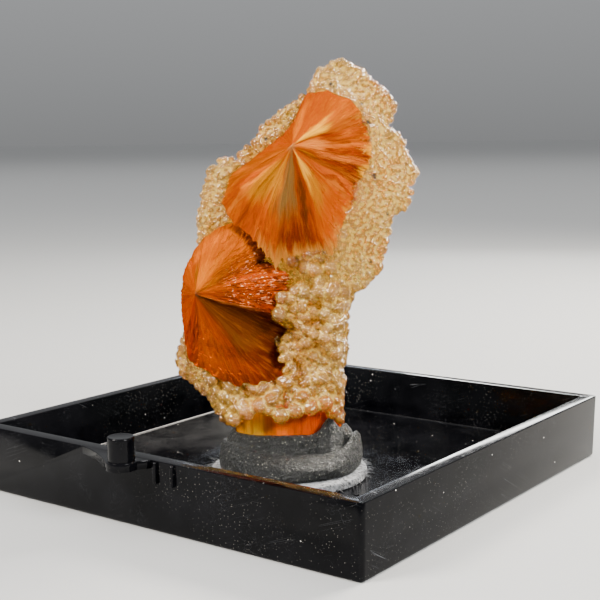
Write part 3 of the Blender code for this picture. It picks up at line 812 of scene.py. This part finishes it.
def chalcedony(name, colours, clear, milky, grit):
    """Cream stone: clear on the tops of the grains and milky in the grooves between them, which are painted
    paler as a painted glow.
    """
    made = Finish(name)
    at = made.place()
    cloud = made.noise(at, 0.32, 3.0, 0.5)
    grain = made.noise(at, 3.4, 3.0, 0.6)
    values = {}
    for wanted in ("orange_glow", "groove", "speck"):
        node = made.tree.nodes.new("ShaderNodeAttribute")
        node.attribute_name = wanted
        values[wanted] = node.outputs["Fac"]
    base = made.ramp(cloud, [(where, paint(*colour)) for where, colour in zip((0.36, 0.5, 0.62), colours)])
    # Painted glow: the grooves are painted pale yellow, for the light that shows at the edges of the
    # translucent grains.
    base = made.blend(made.grey(values["groove"], 0.45, 0.9, 0.0, GROOVE_GLOW), base, paint(255, 212, 92))
    # Painted glow: near the sprays the stone is painted orange, for the light from them that glows through
    # it.
    base = made.blend(values["orange_glow"], base, paint(250, 160, 12))
    base = made.blend(values["speck"], base, paint(40, 24, 12))
    dirt = made.spots(at, 0.55, (0.03, 0.07), (6.0, 2.0), (0.5, 0.6))
    base = made.blend(made.times(dirt, 0.8), base, paint(60, 34, 14))
    made.feed(base, "Base Color")
    made.feed(made.grey(grain, 0.3, 0.7, 0.06, 0.2), "Roughness")
    beads = made.grey(made.cells(at, 4.2), 0.0, 0.7, 1.0, 0.0)
    made.bump(made.combine(beads, made.noise(at, 13.0, 2.0)), 1.0, grit)
    made.feed(made.grey(values["groove"], 0.35, 0.8, clear, milky), "Transmission Weight")
    made.set(IOR=1.54, Coat_Weight=0.5, Coat_Roughness=0.05)
    return made.done()


PLATE_CREAM = ((255, 206, 90), (255, 190, 60), (254, 170, 36))
CLUSTER_CREAM = ((255, 208, 84), (255, 196, 62), (252, 180, 44))
plate_stone = chalcedony("plate chalcedony", PLATE_CREAM, clear=0.89, milky=0.55, grit=0.0002)
cluster_stone = chalcedony("cluster chalcedony", CLUSTER_CREAM, clear=0.85, milky=0.54, grit=0.00012)


# %% Lumps and slabs
def slab(name, outline, front, back, margin):
    """A plate with the outline's shape and eased edges, from its front to its back."""
    rings = []
    for y, extra in ((front, 0.35), (front + 0.4, 0.0), (back - 0.5, 0.0), (back, 0.5)):
        ring = []
        for i, here in enumerate(outline):
            before, after = Vector(outline[i - 1]), Vector(outline[(i + 1) % len(outline)])
            edge = (after - before).normalized()
            p = Vector(here) + Vector((edge.y, -edge.x)) * (margin + extra)
            ring.append((p.x, y, p.y))
        rings.append(ring)
    count = len(outline)
    faces = [list(range(count)), list(range(3 * count, 4 * count))[::-1]]
    for k in range(3):
        for i in range(count):
            j = (i + 1) % count
            faces.append((k * count + i, (k + 1) * count + i, (k + 1) * count + j, k * count + j))
    mesh = bpy.data.meshes.new(name)
    mesh.from_pydata([p for ring in rings for p in ring], [], faces)
    return new_object(name, mesh)


put_down()
bpy.ops.mesh.primitive_ico_sphere_add(subdivisions=2, radius=1.0)
ball = just_made("ball")
LOWEST = 4.4


def lump(x, z, forward, radius, stretch=1.0):
    """A copy of the ball, turned its own way and kept above the putty."""
    z = max(z, LOWEST + radius)
    made = new_object("lump", ball.data.copy())
    turned = Matrix.Translation((x, -forward, z)) @ Matrix.Rotation(x + 2 * z, 4, (1, 0.3, 0.6))
    made.data.transform(turned @ Matrix.Diagonal((radius, radius, radius * stretch, 1)))
    return made


def grow_together(name, pieces, voxel):
    """Join the pieces and remesh them into one skin."""
    put_down()
    for piece in pieces:
        piece.select_set(True)
    bpy.context.view_layer.objects.active = pieces[0]
    bpy.ops.object.join()
    made = just_made(name)
    take(made)
    remesh = made.modifiers.new("grow together", "REMESH")
    remesh.mode = "VOXEL"
    remesh.voxel_size = voxel
    finish_modifiers(made)
    return made


def ripple(piece, kind, size, depth, middle=0.5):
    """Push the skin in and out by a cloud or cell pattern."""
    texture = bpy.data.textures.new(piece.name + " " + kind, kind)
    texture.noise_scale = size
    push = piece.modifiers.new("ripple", "DISPLACE")
    push.texture = texture
    push.texture_coords = "LOCAL"
    push.strength = depth
    push.mid_level = middle
    finish_modifiers(piece)


# %% Lumps on the edge of the plate
rng = random.Random(11)
grown = [
    slab("plate", PLATE, -0.3, 2.3, 0.5),
    slab("under_upper", upper_flat, -0.6, 1.0, 0.3),
    slab("under_lower", lower_flat, -0.6, 1.0, 0.3),
]
for point, inward in along_edge(PLATE, 0.55):
    lively = 1.0 if point.x > 2.5 else 0.78
    radius = rng.uniform(0.26, 0.48) * lively
    spot = point + inward * radius * rng.uniform(0.55, 1.15)
    grown.append(lump(spot.x, spot.y, rng.uniform(-0.3, 0.35), radius))
for point, inward in along_edge(PLATE, 0.75):
    radius = rng.uniform(0.3, 0.55)
    spot = point + inward * radius * rng.uniform(1.0, 1.5)
    grown.append(lump(spot.x, spot.y, rng.uniform(-1.2, -0.6), radius))
    radius = rng.uniform(0.4, 0.7)
    spot = point + inward * radius * 1.5
    grown.append(lump(spot.x, spot.y, rng.uniform(-2.1, -1.4), radius))
print(len(grown), "pieces so far")

# %% Grains on its front
covered = (upper_flat, lower_flat)
for x, z in spread(PLATE, 0.27, rng, room=0.32, keep_out=covered):
    grown.append(lump(x, z, rng.uniform(0.2, 0.36), rng.uniform(0.11, 0.2)))
# The plate rises in a bank of grains to the ends of the upper blades, mostly on the right.
BANK_OUT = 0.95
BANK_FOOT = 0.25
middle = Vector((0.35, 21.5))
for a, b in zip(UPPER_RIM[1:11], UPPER_RIM[2:12]):
    for number in range(44):
        t = rng.random()
        x, z, forward = (a[i] + (b[i] - a[i]) * t for i in range(3))
        away = rng.uniform(-0.18, BANK_OUT)
        spot = Vector((x, z)) + (Vector((x, z)) - middle).normalized() * away
        if not inside(PLATE, spot.x * 1.02, spot.y):
            continue
        high = forward + 0.35 * max(0, -away) - (forward - BANK_FOOT) * (max(0, away) / BANK_OUT) ** 0.8
        if number % 4 == 0:
            grown.append(lump(spot.x, spot.y, 0.45 * high, 0.45 * high + 0.12))
        grown.append(lump(spot.x, spot.y, high - 0.08, rng.uniform(0.11, 0.22)))
print(len(grown), "pieces so far")

# %% Lumps on its back
for x, z in spread(PLATE, 1.3, rng, room=0.9):
    grown.append(lump(x, z, rng.uniform(-1.9, -1.5), rng.uniform(0.7, 1.1)))
# The small lumps between them draw random numbers of their own, so that all the others keep their places.
between = random.Random(4)
for x, z in spread(PLATE, 0.72, between, room=0.6):
    grown.append(lump(x, z, between.uniform(-2.15, -2.0), between.uniform(0.4, 0.6)))
print(len(grown), "pieces in the plate")

# %% Plate grown together
BACK_FROM = 0.9

plate = grow_together("chalcedony_plate", grown, 0.088)
print("plate skin", len(plate.data.polygons), "faces")
back = plate.vertex_groups.new(name="back")
back.add([v.index for v in plate.data.vertices if v.co.y > BACK_FROM], 1.0, "REPLACE")
fewer = plate.modifiers.new("fewer faces behind", "DECIMATE")
fewer.ratio = 0.62
fewer.vertex_group = "back"
finish_modifiers(plate)


# %% Values on the vertices that the chalcedony reads
def vertex_rows(piece, what):
    """The places ("co") or the normals ("normal") of all vertices, as rows of x, y and z."""
    rows = np.empty(len(piece.data.vertices) * 3)
    piece.data.vertices.foreach_get(what, rows)
    return rows.reshape(-1, 3)


def keep_value(piece, name, values):
    piece.data.attributes.new(name, "FLOAT", "POINT").data.foreach_set("value", values)
    print(piece.name, name, "from", round(float(values.min()), 2), "to", round(float(values.max()), 2))


def set_orange_glow(piece):
    """How much painted orange glow it gets: the orange beside it, painted in as if it glowed through the
    stone.
    """
    places = vertex_rows(piece, "co")
    nearest = np.full(len(places), 9.0)
    for outline in (upper_flat, lower_flat):
        for a, b in zip(outline, outline[1:] + outline[:1]):
            a, b = np.array(a), np.array(b)
            p = places[:, (0, 2)] - a
            t = np.clip(p @ (b - a) / ((b - a) @ (b - a)), 0, 1)
            nearest = np.minimum(nearest, np.hypot(*(p - t[:, None] * (b - a)).T))
    front = np.where(places[:, 1] < 0.6, 1.0, 0.3)
    keep_value(piece, "orange_glow", front * 0.45 * np.exp(-nearest / 0.4))


def set_specks(piece):
    """Mark the few dark specks that sit on the front of the plate."""
    places = vertex_rows(piece, "co")
    mark = np.zeros(len(places))
    for x, z, size in SPECKS:
        away = np.hypot(places[:, 0] - x, places[:, 2] - z)
        mark = np.maximum(mark, np.clip(1.6 - away / size, 0, 1) * (places[:, 1] < 0.8))
    keep_value(piece, "speck", mark)


def set_groove(piece, depth):
    """How deep a vertex lies against its neighbours: 0 on a grain's top, 0.5 on a flat, 1 in a groove."""
    places, normals = vertex_rows(piece, "co"), vertex_rows(piece, "normal")
    count = len(places)
    ends = np.empty(len(piece.data.edges) * 2, dtype=int)
    piece.data.edges.foreach_get("vertices", ends)
    a, b = ends[0::2], ends[1::2]
    number = np.bincount(ends, minlength=count)
    around = [np.bincount(a, places[b, k], count) + np.bincount(b, places[a, k], count) for k in range(3)]
    above = sum((around[k] / number - places[:, k]) * normals[:, k] for k in range(3))
    for smoothing in range(2):
        beside = np.bincount(a, above[b], count) + np.bincount(b, above[a], count)
        above = 0.5 * above + 0.5 * beside / number
    keep_value(piece, "groove", np.clip(0.5 + above / depth, 0, 1))


# %% Plate skin and its grain
GROOVE_DEPTH = 0.012


def place_stone(piece, degrees, finish):
    """Stand a piece of the stone in the tray, shade it, give it its finish and tie it to the frame."""
    piece.data.transform(to_tray)
    smooth_by_angle(piece, degrees)
    hand_in(piece, "scolecite_specimen", finish)


ripple(plate, "CLOUDS", 0.5, 0.08)
ripple(plate, "VORONOI", 0.26, -0.07, 0.3)
set_orange_glow(plate)
set_groove(plate, GROOVE_DEPTH)
set_specks(plate)
place_stone(plate, 80, plate_stone)

# %% [markdown]
# ## The cluster and the curtain
# Right of the lower spray the chalcedony grew larger, in a cluster of glassy balls that hangs down as a
# curtain under it. They are grown as the plate was, on two slabs of their own, but on a finer grid, because
# each ball is seen by itself. Balls that stand out on the real one are placed one by one.

# %% Cluster, curtain and the column of balls at the right
grown = [slab("cluster", CLUSTER, -1.0, 1.0, 0.3), slab("curtain", CURTAIN, -0.9, 1.0, 0.3)]
for x, z in spread(CLUSTER, 0.72, rng, room=0.2):
    if z > 9.4:
        grown.append(lump(x, z, rng.uniform(1.1, 1.8), rng.uniform(0.36, 0.5)))
for x, z in spread(CLUSTER, 0.4, rng, room=0.1):
    if z < 10.2 or x > 2.6:
        grown.append(lump(x, z, rng.uniform(0.8, 1.1), rng.uniform(0.2, 0.34)))
for x, z in spread(CURTAIN, 0.62, rng, room=0.12):
    grown.append(lump(x, z, rng.uniform(0.9, 1.55), rng.uniform(0.3, 0.52), 1.1))
for x, z, forward, radius in SINGLE_LUMPS:
    grown.append(lump(x, z, forward, radius))
for step in range(17):
    z = 4.9 + step * 0.54
    grown.append(lump(3.5 + rng.uniform(-0.25, 0.1), z, rng.uniform(-0.3, 0.6), rng.uniform(0.26, 0.42)))
    grown.append(lump(3.0 + rng.uniform(-0.3, 0.2), z + 0.25, rng.uniform(0.5, 1.0), rng.uniform(0.22, 0.4)))
cluster = grow_together("chalcedony_cluster", grown, 0.075)
ripple(cluster, "CLOUDS", 0.3, 0.08)
ripple(cluster, "VORONOI", 0.2, -0.04, 0.3)
set_orange_glow(cluster)
set_groove(cluster, GROOVE_DEPTH)
place_stone(cluster, 80, cluster_stone)
bpy.data.objects.remove(ball, do_unlink=True)

# %% [markdown]
# ## Scolecite sprays
# Each spray is a low cone of silky blades that all start at one point. A flat grid is wrapped round the apex:
# one way runs round, the other from the apex to the rim. Broad folds are set sector by sector. Blades and
# fibres come from noise that is wrapped round the same way, so it runs out from the apex, and the ends of
# the blades break off in steps. The wrap is also the UV map, so the streaks of colour follow the blades.


# %% Spray form
def rim_at(apex, rim, angle):
    """How far the rim is from the apex in one direction, and how far forward it lies there."""
    ax, az = apex[:2]
    d = Vector((math.cos(angle), math.sin(angle)))
    best = None
    for (px, pz, pf), (qx, qz, qf) in zip(rim, rim[1:] + rim[:1]):
        p = Vector((px - ax, pz - az))
        edge = Vector((qx - ax, qz - az)) - p
        cross = d.x * edge.y - d.y * edge.x
        if abs(cross) < 1e-9:
            continue
        t = (p.x * edge.y - p.y * edge.x) / cross
        s = (p.x * d.y - p.y * d.x) / cross
        if t > 0 and -1e-6 <= s <= 1 + 1e-6 and (best is None or t > best[0]):
            best = (t, pf + (qf - pf) * s)
    return best


def round_noise(theta, outward, across, along, seed):
    """Noise that closes on itself round the apex and is drawn out along the blades."""
    place = (across * math.cos(theta), across * math.sin(theta), outward * along + seed * 7.3)
    return noise.noise(Vector(place))


AROUND = 660
OUT = 118
FACE = 0.92
TUCK = 0.14


def spray(name, apex, rim, swell, seed, folds, rough_parts, fringes, ragged):
    """folds: angle in degrees, width and height in mm. rough_parts and fringes: angle, width, strength."""

    def add_up(hills, theta):
        return sum(amount * hill(theta, centre, width) for centre, width, amount in hills)

    def blade_line(theta):
        """What holds along one direction: reach, rim, fold, how broken it is, and where its steps start."""
        reach, forward = rim_at(apex, rim, theta)
        teeth = 0.05 * round_noise(theta, 0, 26, 0, seed) + 0.04 * round_noise(theta, 0, 66, 0, seed)
        uneven = ragged * round_noise(theta, 0, 5, 0, seed) + 0.02 * round_noise(theta, 0, 14, 0, seed)
        snap = 2.2 * round_noise(theta, 0, 9, 0, seed + 1) + 0.7 * round_noise(theta, 0, 24, 0, seed + 2)
        reach *= 1 + uneven + (0.15 + add_up(fringes, theta)) * teeth
        return reach, forward, add_up(folds, theta), min(1.0, add_up(rough_parts, theta)), snap

    def place_on(theta, v, reach, forward, fold, rough, snap):
        """A place on the spray. v runs from the apex (0) to the rim (FACE) and then in behind it (1)."""
        body = min(1.0, v / FACE)
        grow = min(1.0, body * 1.6) ** 0.9
        turn = theta + 0.10 * round_noise(theta, body, 1.7, 1.3, seed + 3)
        turn += 0.03 * round_noise(theta, body, 6, 3.0, seed + 8)
        blade = 0.10 * round_noise(theta, body, 3.2, 1.3, seed + 4)
        blade += 0.04 * (0.35 - abs(round_noise(theta, body, 8, 1.8, seed + 5)))
        blade += 0.018 * (0.35 - abs(round_noise(theta, body, 20, 3.5, seed + 6)))
        blade += 0.006 * round_noise(theta, body, 60, 4.0, seed + 7)
        steps = body * 4.5 + snap
        shingle = 0.5 - (steps - math.floor(steps))
        broken = rough * min(1.0, max(0.0, (body - 0.15) * 4))
        tip = max(0.0, (body - 0.72) / 0.28)
        rise = forward + (apex[2] - forward) * (1 - body ** swell)
        rise += blade * grow * (1 + 0.8 * broken) + fold * math.sin(body * math.pi * 0.62)
        rise += shingle * (0.006 * grow + 0.13 * broken + 0.04 * tip)
        rise += 0.09 * broken * round_noise(theta, body, 26, 16, seed + 9)
        rise += 1.6 * ragged * grow * round_noise(theta, body, 2.4, 4.5, seed + 10)
        r = reach * body
        p = Vector((apex[0] + r * math.cos(turn), -rise, apex[1] + r * math.sin(turn)))
        if v > FACE:
            back = (v - FACE) / (1 - FACE)
            p.x -= TUCK * back * math.cos(theta) * reach
            p.z -= TUCK * back * math.sin(theta) * reach
            p.y += (0.7 + rise) * back
        return p

    put_down()
    bpy.ops.mesh.primitive_grid_add(x_subdivisions=AROUND, y_subdivisions=OUT, size=1.0)
    made = just_made(name)
    blade_lines = {}
    for vertex in made.data.vertices:
        key = round((vertex.co.x + 0.5) * AROUND) % AROUND
        theta = key / AROUND * 2 * math.pi
        if key not in blade_lines:
            blade_lines[key] = blade_line(theta)
        vertex.co = place_on(theta, vertex.co.y + 0.5, *blade_lines[key])
    made.data.uv_layers.active.name = "blades"
    close_up(made, 0.0005)
    return made


# %% [markdown]
# ## The silk of the sprays
# Scolecite is silky: fine fibres that catch the light, in orange that turns to cream, brown and red from one
# bundle of blades to the next. Streaks from a noise that follows the blades need no picture and stay sharp
# close up. The colours are given as a ground by direction, soft wedges over it, streaks over those.

# %% Scolecite finish
def silk(name, ground, patches, tip, rough_at, glint):
    """Orange silk. ground: colours by direction from the apex, in degrees. patches: direction, half width,
    where a patch starts and ends on the way out (0 apex, 1 rim), colour, strength. rough_at: the same four
    for the broken parts, whose chips are painted in the glint colour, partly their own pale grains and partly
    painted glints."""
    made = Finish(name)
    wrap = made.tree.nodes.new("ShaderNodeUVMap")
    wrap.uv_map = "blades"
    split = made.node("ShaderNodeSeparateXYZ", Vector=wrap.outputs["UV"])
    round_it, outward = split.outputs["X"], split.outputs["Y"]

    def heading(turn):
        """A place on a cylinder for a turn from 0 to 1, so that the noise meets itself all the way round."""
        turn = made.times(turn, 2 * math.pi)
        east, north = made.combine(turn, 0.0, "COSINE"), made.combine(turn, 0.0, "SINE")
        return made.node("ShaderNodeCombineXYZ", X=east, Y=north, Z=outward).outputs[0]

    def grain(across, along):
        stretched = made.node("ShaderNodeMapping", Vector=straight, Scale=(across, across, along))
        return made.noise(stretched.outputs["Vector"], 1.0, 3.0, 0.6)

    def soft(value, low, high, first=0.0, last=1.0):
        made_range = made.grey(value, low, high, first, last)
        made_range.node.interpolation_type = "SMOOTHSTEP"
        return made_range

    straight = heading(round_it)
    at = made.place()
    sway = made.grey(grain(5, 2.5), 0.0, 1.0, -0.03, 0.03)
    broad, streak, fine = grain(8, 2.0), grain(20, 3.5), grain(64, 8.0)
    aimed = made.combine(round_it, sway)
    swayed = heading(aimed)
    out_at = made.combine(outward, made.grey(broad, 0.25, 0.75, -0.13, 0.13))
    stops = [(angle / 360, paint(*shade)) for angle, shade in ground]
    colour = made.ramp(aimed, stops + [(1.0, stops[0][1])])

    def wedge(angle, width, start, end, strength=1.0):
        toward = made.tree.nodes.new("ShaderNodeVectorMath")
        toward.operation = "DOT_PRODUCT"
        made.tree.links.new(swayed, toward.inputs[0])
        toward.inputs[1].default_value = (math.cos(math.radians(angle)), math.sin(math.radians(angle)), 0)
        amount = soft(toward.outputs["Value"], math.cos(math.radians(width)), 1.0, 0.0, strength)
        amount = made.times(amount, soft(out_at, start - 0.08, start + 0.08))
        return made.times(amount, soft(out_at, end - 0.12, end + 0.12, 1.0, 0.0))

    for angle, width, start, end, shade, strength in patches:
        colour = made.blend(wedge(angle, width, start, end, strength), colour, paint(*shade))
    for amount, low, high, strength, shade in (
        (streak, 0.54, 0.74, 0.3, (160, 84, 2)),
        (streak, 0.46, 0.28, 0.3, (100, 32, 0)),
        (fine, 0.56, 0.74, 0.25, (186, 100, 14)),
        (fine, 0.44, 0.3, 0.2, (88, 28, 0)),
    ):
        colour = made.blend(made.grey(amount, low, high, 0.0, strength), colour, paint(*shade))
    chips_and_glints = made.grey(made.combine(grain(34, 16), made.noise(at, 4.0, 3.0, 0.7)), 1.08, 1.2)
    chips_and_glints = made.times(chips_and_glints, wedge(*rough_at))
    # The broken chips are painted in the glint colour: partly the real pale grains at the ends of the blades
    # and partly painted glints. They get a coat as well.
    colour = made.blend(made.times(chips_and_glints, 0.8), colour, paint(*glint))
    colour = made.blend(made.grey(outward, 0.0, 0.07, 0.8, 0.0), colour, paint(*tip))
    made.feed(colour, "Base Color")
    made.feed(made.grey(fine, 0.3, 0.7, 0.48, 0.28), "Roughness")
    made.bump(made.combine(made.combine(fine, streak), made.noise(at, 12.0, 2.0)), 0.4, 0.00007)
    made.feed(made.times(chips_and_glints, 0.5), "Coat Weight")
    made.set(IOR=1.52, Metallic=0.3, Specular_IOR_Level=0.0, Specular_Tint=(1.0, 0.4, 0.05, 1.0))
    made.set(Coat_Roughness=0.15, Subsurface_Weight=0.25, Subsurface_Scale=0.0006)
    made.set(Subsurface_Radius=(1.0, 0.3, 0.05))
    return made.done()


# %% Colours of the two sprays
ORANGE, DEEP, RED, SALMON = (128, 53, 0), (118, 44, 0), (110, 32, 0), (140, 62, 2)
YELLOW, CREAM, PINK = (162, 98, 0), (218, 152, 24), (170, 88, 22)
BRIGHT, BROWN, HOLLOW_SHADE, GREY_BROWN = (158, 66, 0), (84, 40, 6), (54, 17, 3), (112, 80, 40)
UPPER_GROUND = [
    (0, SALMON), (20, SALMON), (44, SALMON), (66, ORANGE), (185, ORANGE), (208, (112, 54, 0)),
    (226, (136, 62, 0)), (238, BRIGHT), (250, BRIGHT), (262, (132, 58, 2)), (284, (128, 50, 0)),
    (296, BRIGHT), (314, BRIGHT), (330, SALMON), (350, SALMON),
]
# Two wedges are painted light: the faint pink line at 207 degrees is a painted highlight along a ridge, and
# the dark red one at 221 degrees is painted shade in the fold where the left lobe ends.
UPPER_PATCHES = [
    (34, 12, 0.08, 0.50, CREAM, 1.0), (2, 16, 0.05, 0.38, (190, 108, 40), 0.9),
    (17, 8, 0.35, 0.90, RED, 0.85), (28, 20, 0.50, 0.85, (168, 84, 18), 0.7),
    (207, 5, 0.08, 0.42, PINK, 0.3), (236, 16, 0.16, 0.58, YELLOW, 1.0),
    (226, 3, 0.34, 0.95, (170, 92, 20), 0.6), (221, 6, 0.42, 1.00, (116, 46, 0), 0.8),
    (240, 10, 0.66, 0.95, DEEP, 0.5), (250, 9, 0.06, 0.45, (176, 112, 20), 0.8),
    (266, 12, 0.03, 0.52, GREY_BROWN, 1.0), (272, 16, 0.60, 0.86, (98, 34, 0), 0.9),
    (281, 4, 0.26, 0.66, BROWN, 0.9), (297, 10, 0.05, 0.40, CREAM, 0.9),
    (301, 12, 0.32, 0.60, YELLOW, 0.9), (318, 4, 0.12, 0.75, PINK, 0.8), (321, 2.5, 0.30, 0.90, RED, 0.6),
    (325, 4, 0.25, 0.90, (176, 80, 24), 0.8), (72, 13, 0.15, 0.70, (172, 88, 10), 0.7),
    (331, 4, 0.20, 0.95, PINK, 0.8), (336, 3, 0.10, 0.28, YELLOW, 0.9), (339, 4, 0.35, 0.95, RED, 0.7),
    (346, 5, 0.30, 0.90, (186, 96, 34), 0.7), (354, 3, 0.45, 0.95, RED, 0.6),
    (2, 5, 0.40, 0.95, (180, 88, 24), 0.7), (345, 50, 0.92, 1.20, CREAM, 0.8),
    (275, 32, 0.86, 1.20, (170, 114, 44), 0.9),
]
LOWER_GROUND = [
    (0, ORANGE), (40, (134, 64, 0)), (90, (134, 62, 0)), (120, ORANGE), (200, ORANGE), (250, (132, 50, 0)),
    (262, (122, 38, 0)), (280, BRIGHT), (300, (120, 44, 0)), (316, BROWN), (330, (104, 44, 4)),
    (342, DEEP),
]
# Two wedges are painted shade: the near black one at 322 degrees darkens the hollow of the deep fold there,
# and the near black one at 18 degrees, out at the rim, is a painted shadow under the overhang of the upper
# spray.
LOWER_PATCHES = [
    (64, 18, 0.06, 0.38, (158, 84, 2), 0.8), (28, 12, 0.06, 0.34, (158, 84, 2), 0.8),
    (90, 6, 0.05, 0.50, (90, 54, 14), 0.8), (339, 5, 0.08, 0.62, (190, 106, 44), 0.9),
    (318, 22, 0.03, 0.62, (84, 42, 14), 1.0), (310, 4, 0.20, 0.60, (104, 58, 24), 0.6),
    (322, 22, 0.64, 0.90, HOLLOW_SHADE, 1.0), (350, 12, 0.60, 1.00, RED, 0.7),
    (8, 20, 0.35, 0.90, (146, 56, 4), 0.7), (18, 16, 0.88, 1.30, (46, 14, 3), 1.0),
    (40, 16, 0.55, 1.00, SALMON, 0.6), (316, 14, 0.94, 1.20, (190, 84, 8), 0.9),
    (282, 10, 0.35, 0.80, BRIGHT, 0.7), (100, 6, 0.10, 0.90, DEEP, 0.6),
]
upper_silk = silk(
    "upper scolecite", UPPER_GROUND, UPPER_PATCHES, tip=(150, 104, 60), rough_at=(340, 60, 0.86, 1.3),
    glint=(214, 146, 50),
)
lower_silk = silk(
    "lower scolecite", LOWER_GROUND, LOWER_PATCHES, tip=(72, 48, 34), rough_at=(8, 36, 0.32, 1.05),
    glint=(214, 140, 92),
)

# %% Two sprays
UPPER_FOLDS = [
    (18, 7, -0.28), (42, 14, 0.25), (258, 10, -0.25), (225, 12, 0.3), (213, 4, -0.15), (280, 5, -0.15),
    (298, 10, 0.2), (327, 6, -0.35), (346, 12, 0.2), (60, 5, -0.1), (180, 20, 0.15),
]
LOWER_FOLDS = [
    (340, 7, 0.4), (322, 11, -1.0), (290, 12, 0.3), (272, 6, -0.1), (50, 16, 0.25), (22, 5, -0.15),
    (4, 12, 0.3),
]
upper = spray(
    "scolecite_upper", UPPER_APEX, UPPER_RIM, swell=0.88, seed=3, folds=UPPER_FOLDS,
    rough_parts=[(255, 26, 0.15), (310, 20, 0.3), (350, 24, 0.35)],
    fringes=[(272, 24, 1.2), (350, 30, 0.5)], ragged=0.05,
)
place_stone(upper, 32, upper_silk)
lower = spray(
    "scolecite_lower", LOWER_APEX, LOWER_RIM, swell=0.82, seed=5, folds=LOWER_FOLDS,
    rough_parts=[(8, 22, 1.0), (50, 20, 0.4), (275, 24, 0.35), (345, 12, 0.9), (200, 50, 0.3)],
    fringes=[(10, 30, 0.8), (200, 60, 0.5)], ragged=0.09,
)
place_stone(lower, 32, lower_silk)

# %% [markdown]
# ## The foot
# Below the curtain a third spray shows only its broken side: an orange fluted column that ends in the putty.
# A cylinder is cut into rings and pushed in and out by a noise that runs down it. Its UV map runs round and
# down as that of the sprays does, so it takes the same silk.

# %% Fluted foot
FOOT_LOW = 2.6
FOOT_HEIGHT = 3.5
FOOT_RINGS = 24
FOOT_X, FOOT_Y = -0.1, 0.27
FOOT_WIDE, FOOT_DEEP = 3.6, 1.42
STREAK_FROM, STREAK_LONG = 7.2, 20

put_down()
foot_place = (0, 0, FOOT_LOW + FOOT_HEIGHT / 2)
bpy.ops.mesh.primitive_cylinder_add(vertices=240, radius=1.0, depth=FOOT_HEIGHT, location=foot_place)
foot = just_made("scolecite_foot")
fix_scale(foot)
edit(foot)
for cut in range(1, FOOT_RINGS):
    bpy.ops.mesh.select_all(action="SELECT")
    bpy.ops.mesh.bisect(plane_co=(0, 0, FOOT_LOW + cut * FOOT_HEIGHT / FOOT_RINGS), plane_no=(0, 0, 1))
put_down()
foot_uv = foot.data.uv_layers.new(name="blades")
for vertex in foot.data.vertices:
    angle = math.atan2(vertex.co.y, vertex.co.x)
    size = math.hypot(vertex.co.x, vertex.co.y)
    flute = 1 + 0.05 * noise.noise(Vector((angle * 9, 0, 2)))
    flute += 0.03 * noise.noise(Vector((angle * 30, vertex.co.z, 5)))
    vertex.co.x = FOOT_X + FOOT_WIDE * size * flute * math.cos(angle)
    vertex.co.y = FOOT_Y + FOOT_DEEP * size * flute * math.sin(angle)
for loop in foot.data.loops:
    p = foot.data.vertices[loop.vertex_index].co
    angle = math.atan2((p.y - FOOT_Y) / FOOT_DEEP, (p.x - FOOT_X) / FOOT_WIDE)
    share = (angle / (2 * math.pi)) % 1
    foot_uv.data[loop.index].uv = (share, 0.5 + (STREAK_FROM - p.z) / STREAK_LONG)
FOOT_GROUND = [
    (0, (190, 72, 0)), (180, (196, 104, 0)), (225, (218, 150, 10)), (255, (200, 92, 0)), (300, (196, 70, 0)),
]
# The foot has no broken part that glints, so its place for one lies past the end of the UV map.
NOWHERE = (0, 5, 2, 3)
foot_silk = silk(
    "foot scolecite", FOOT_GROUND,
    [(228, 16, 0.4, 1.0, (244, 180, 40), 0.8), (262, 8, 0.4, 1.0, (240, 110, 4), 0.7)],
    tip=(236, 120, 8), rough_at=NOWHERE, glint=(200, 120, 40),
)
place_stone(foot, 40, foot_silk)

# %% Select nothing
put_down()
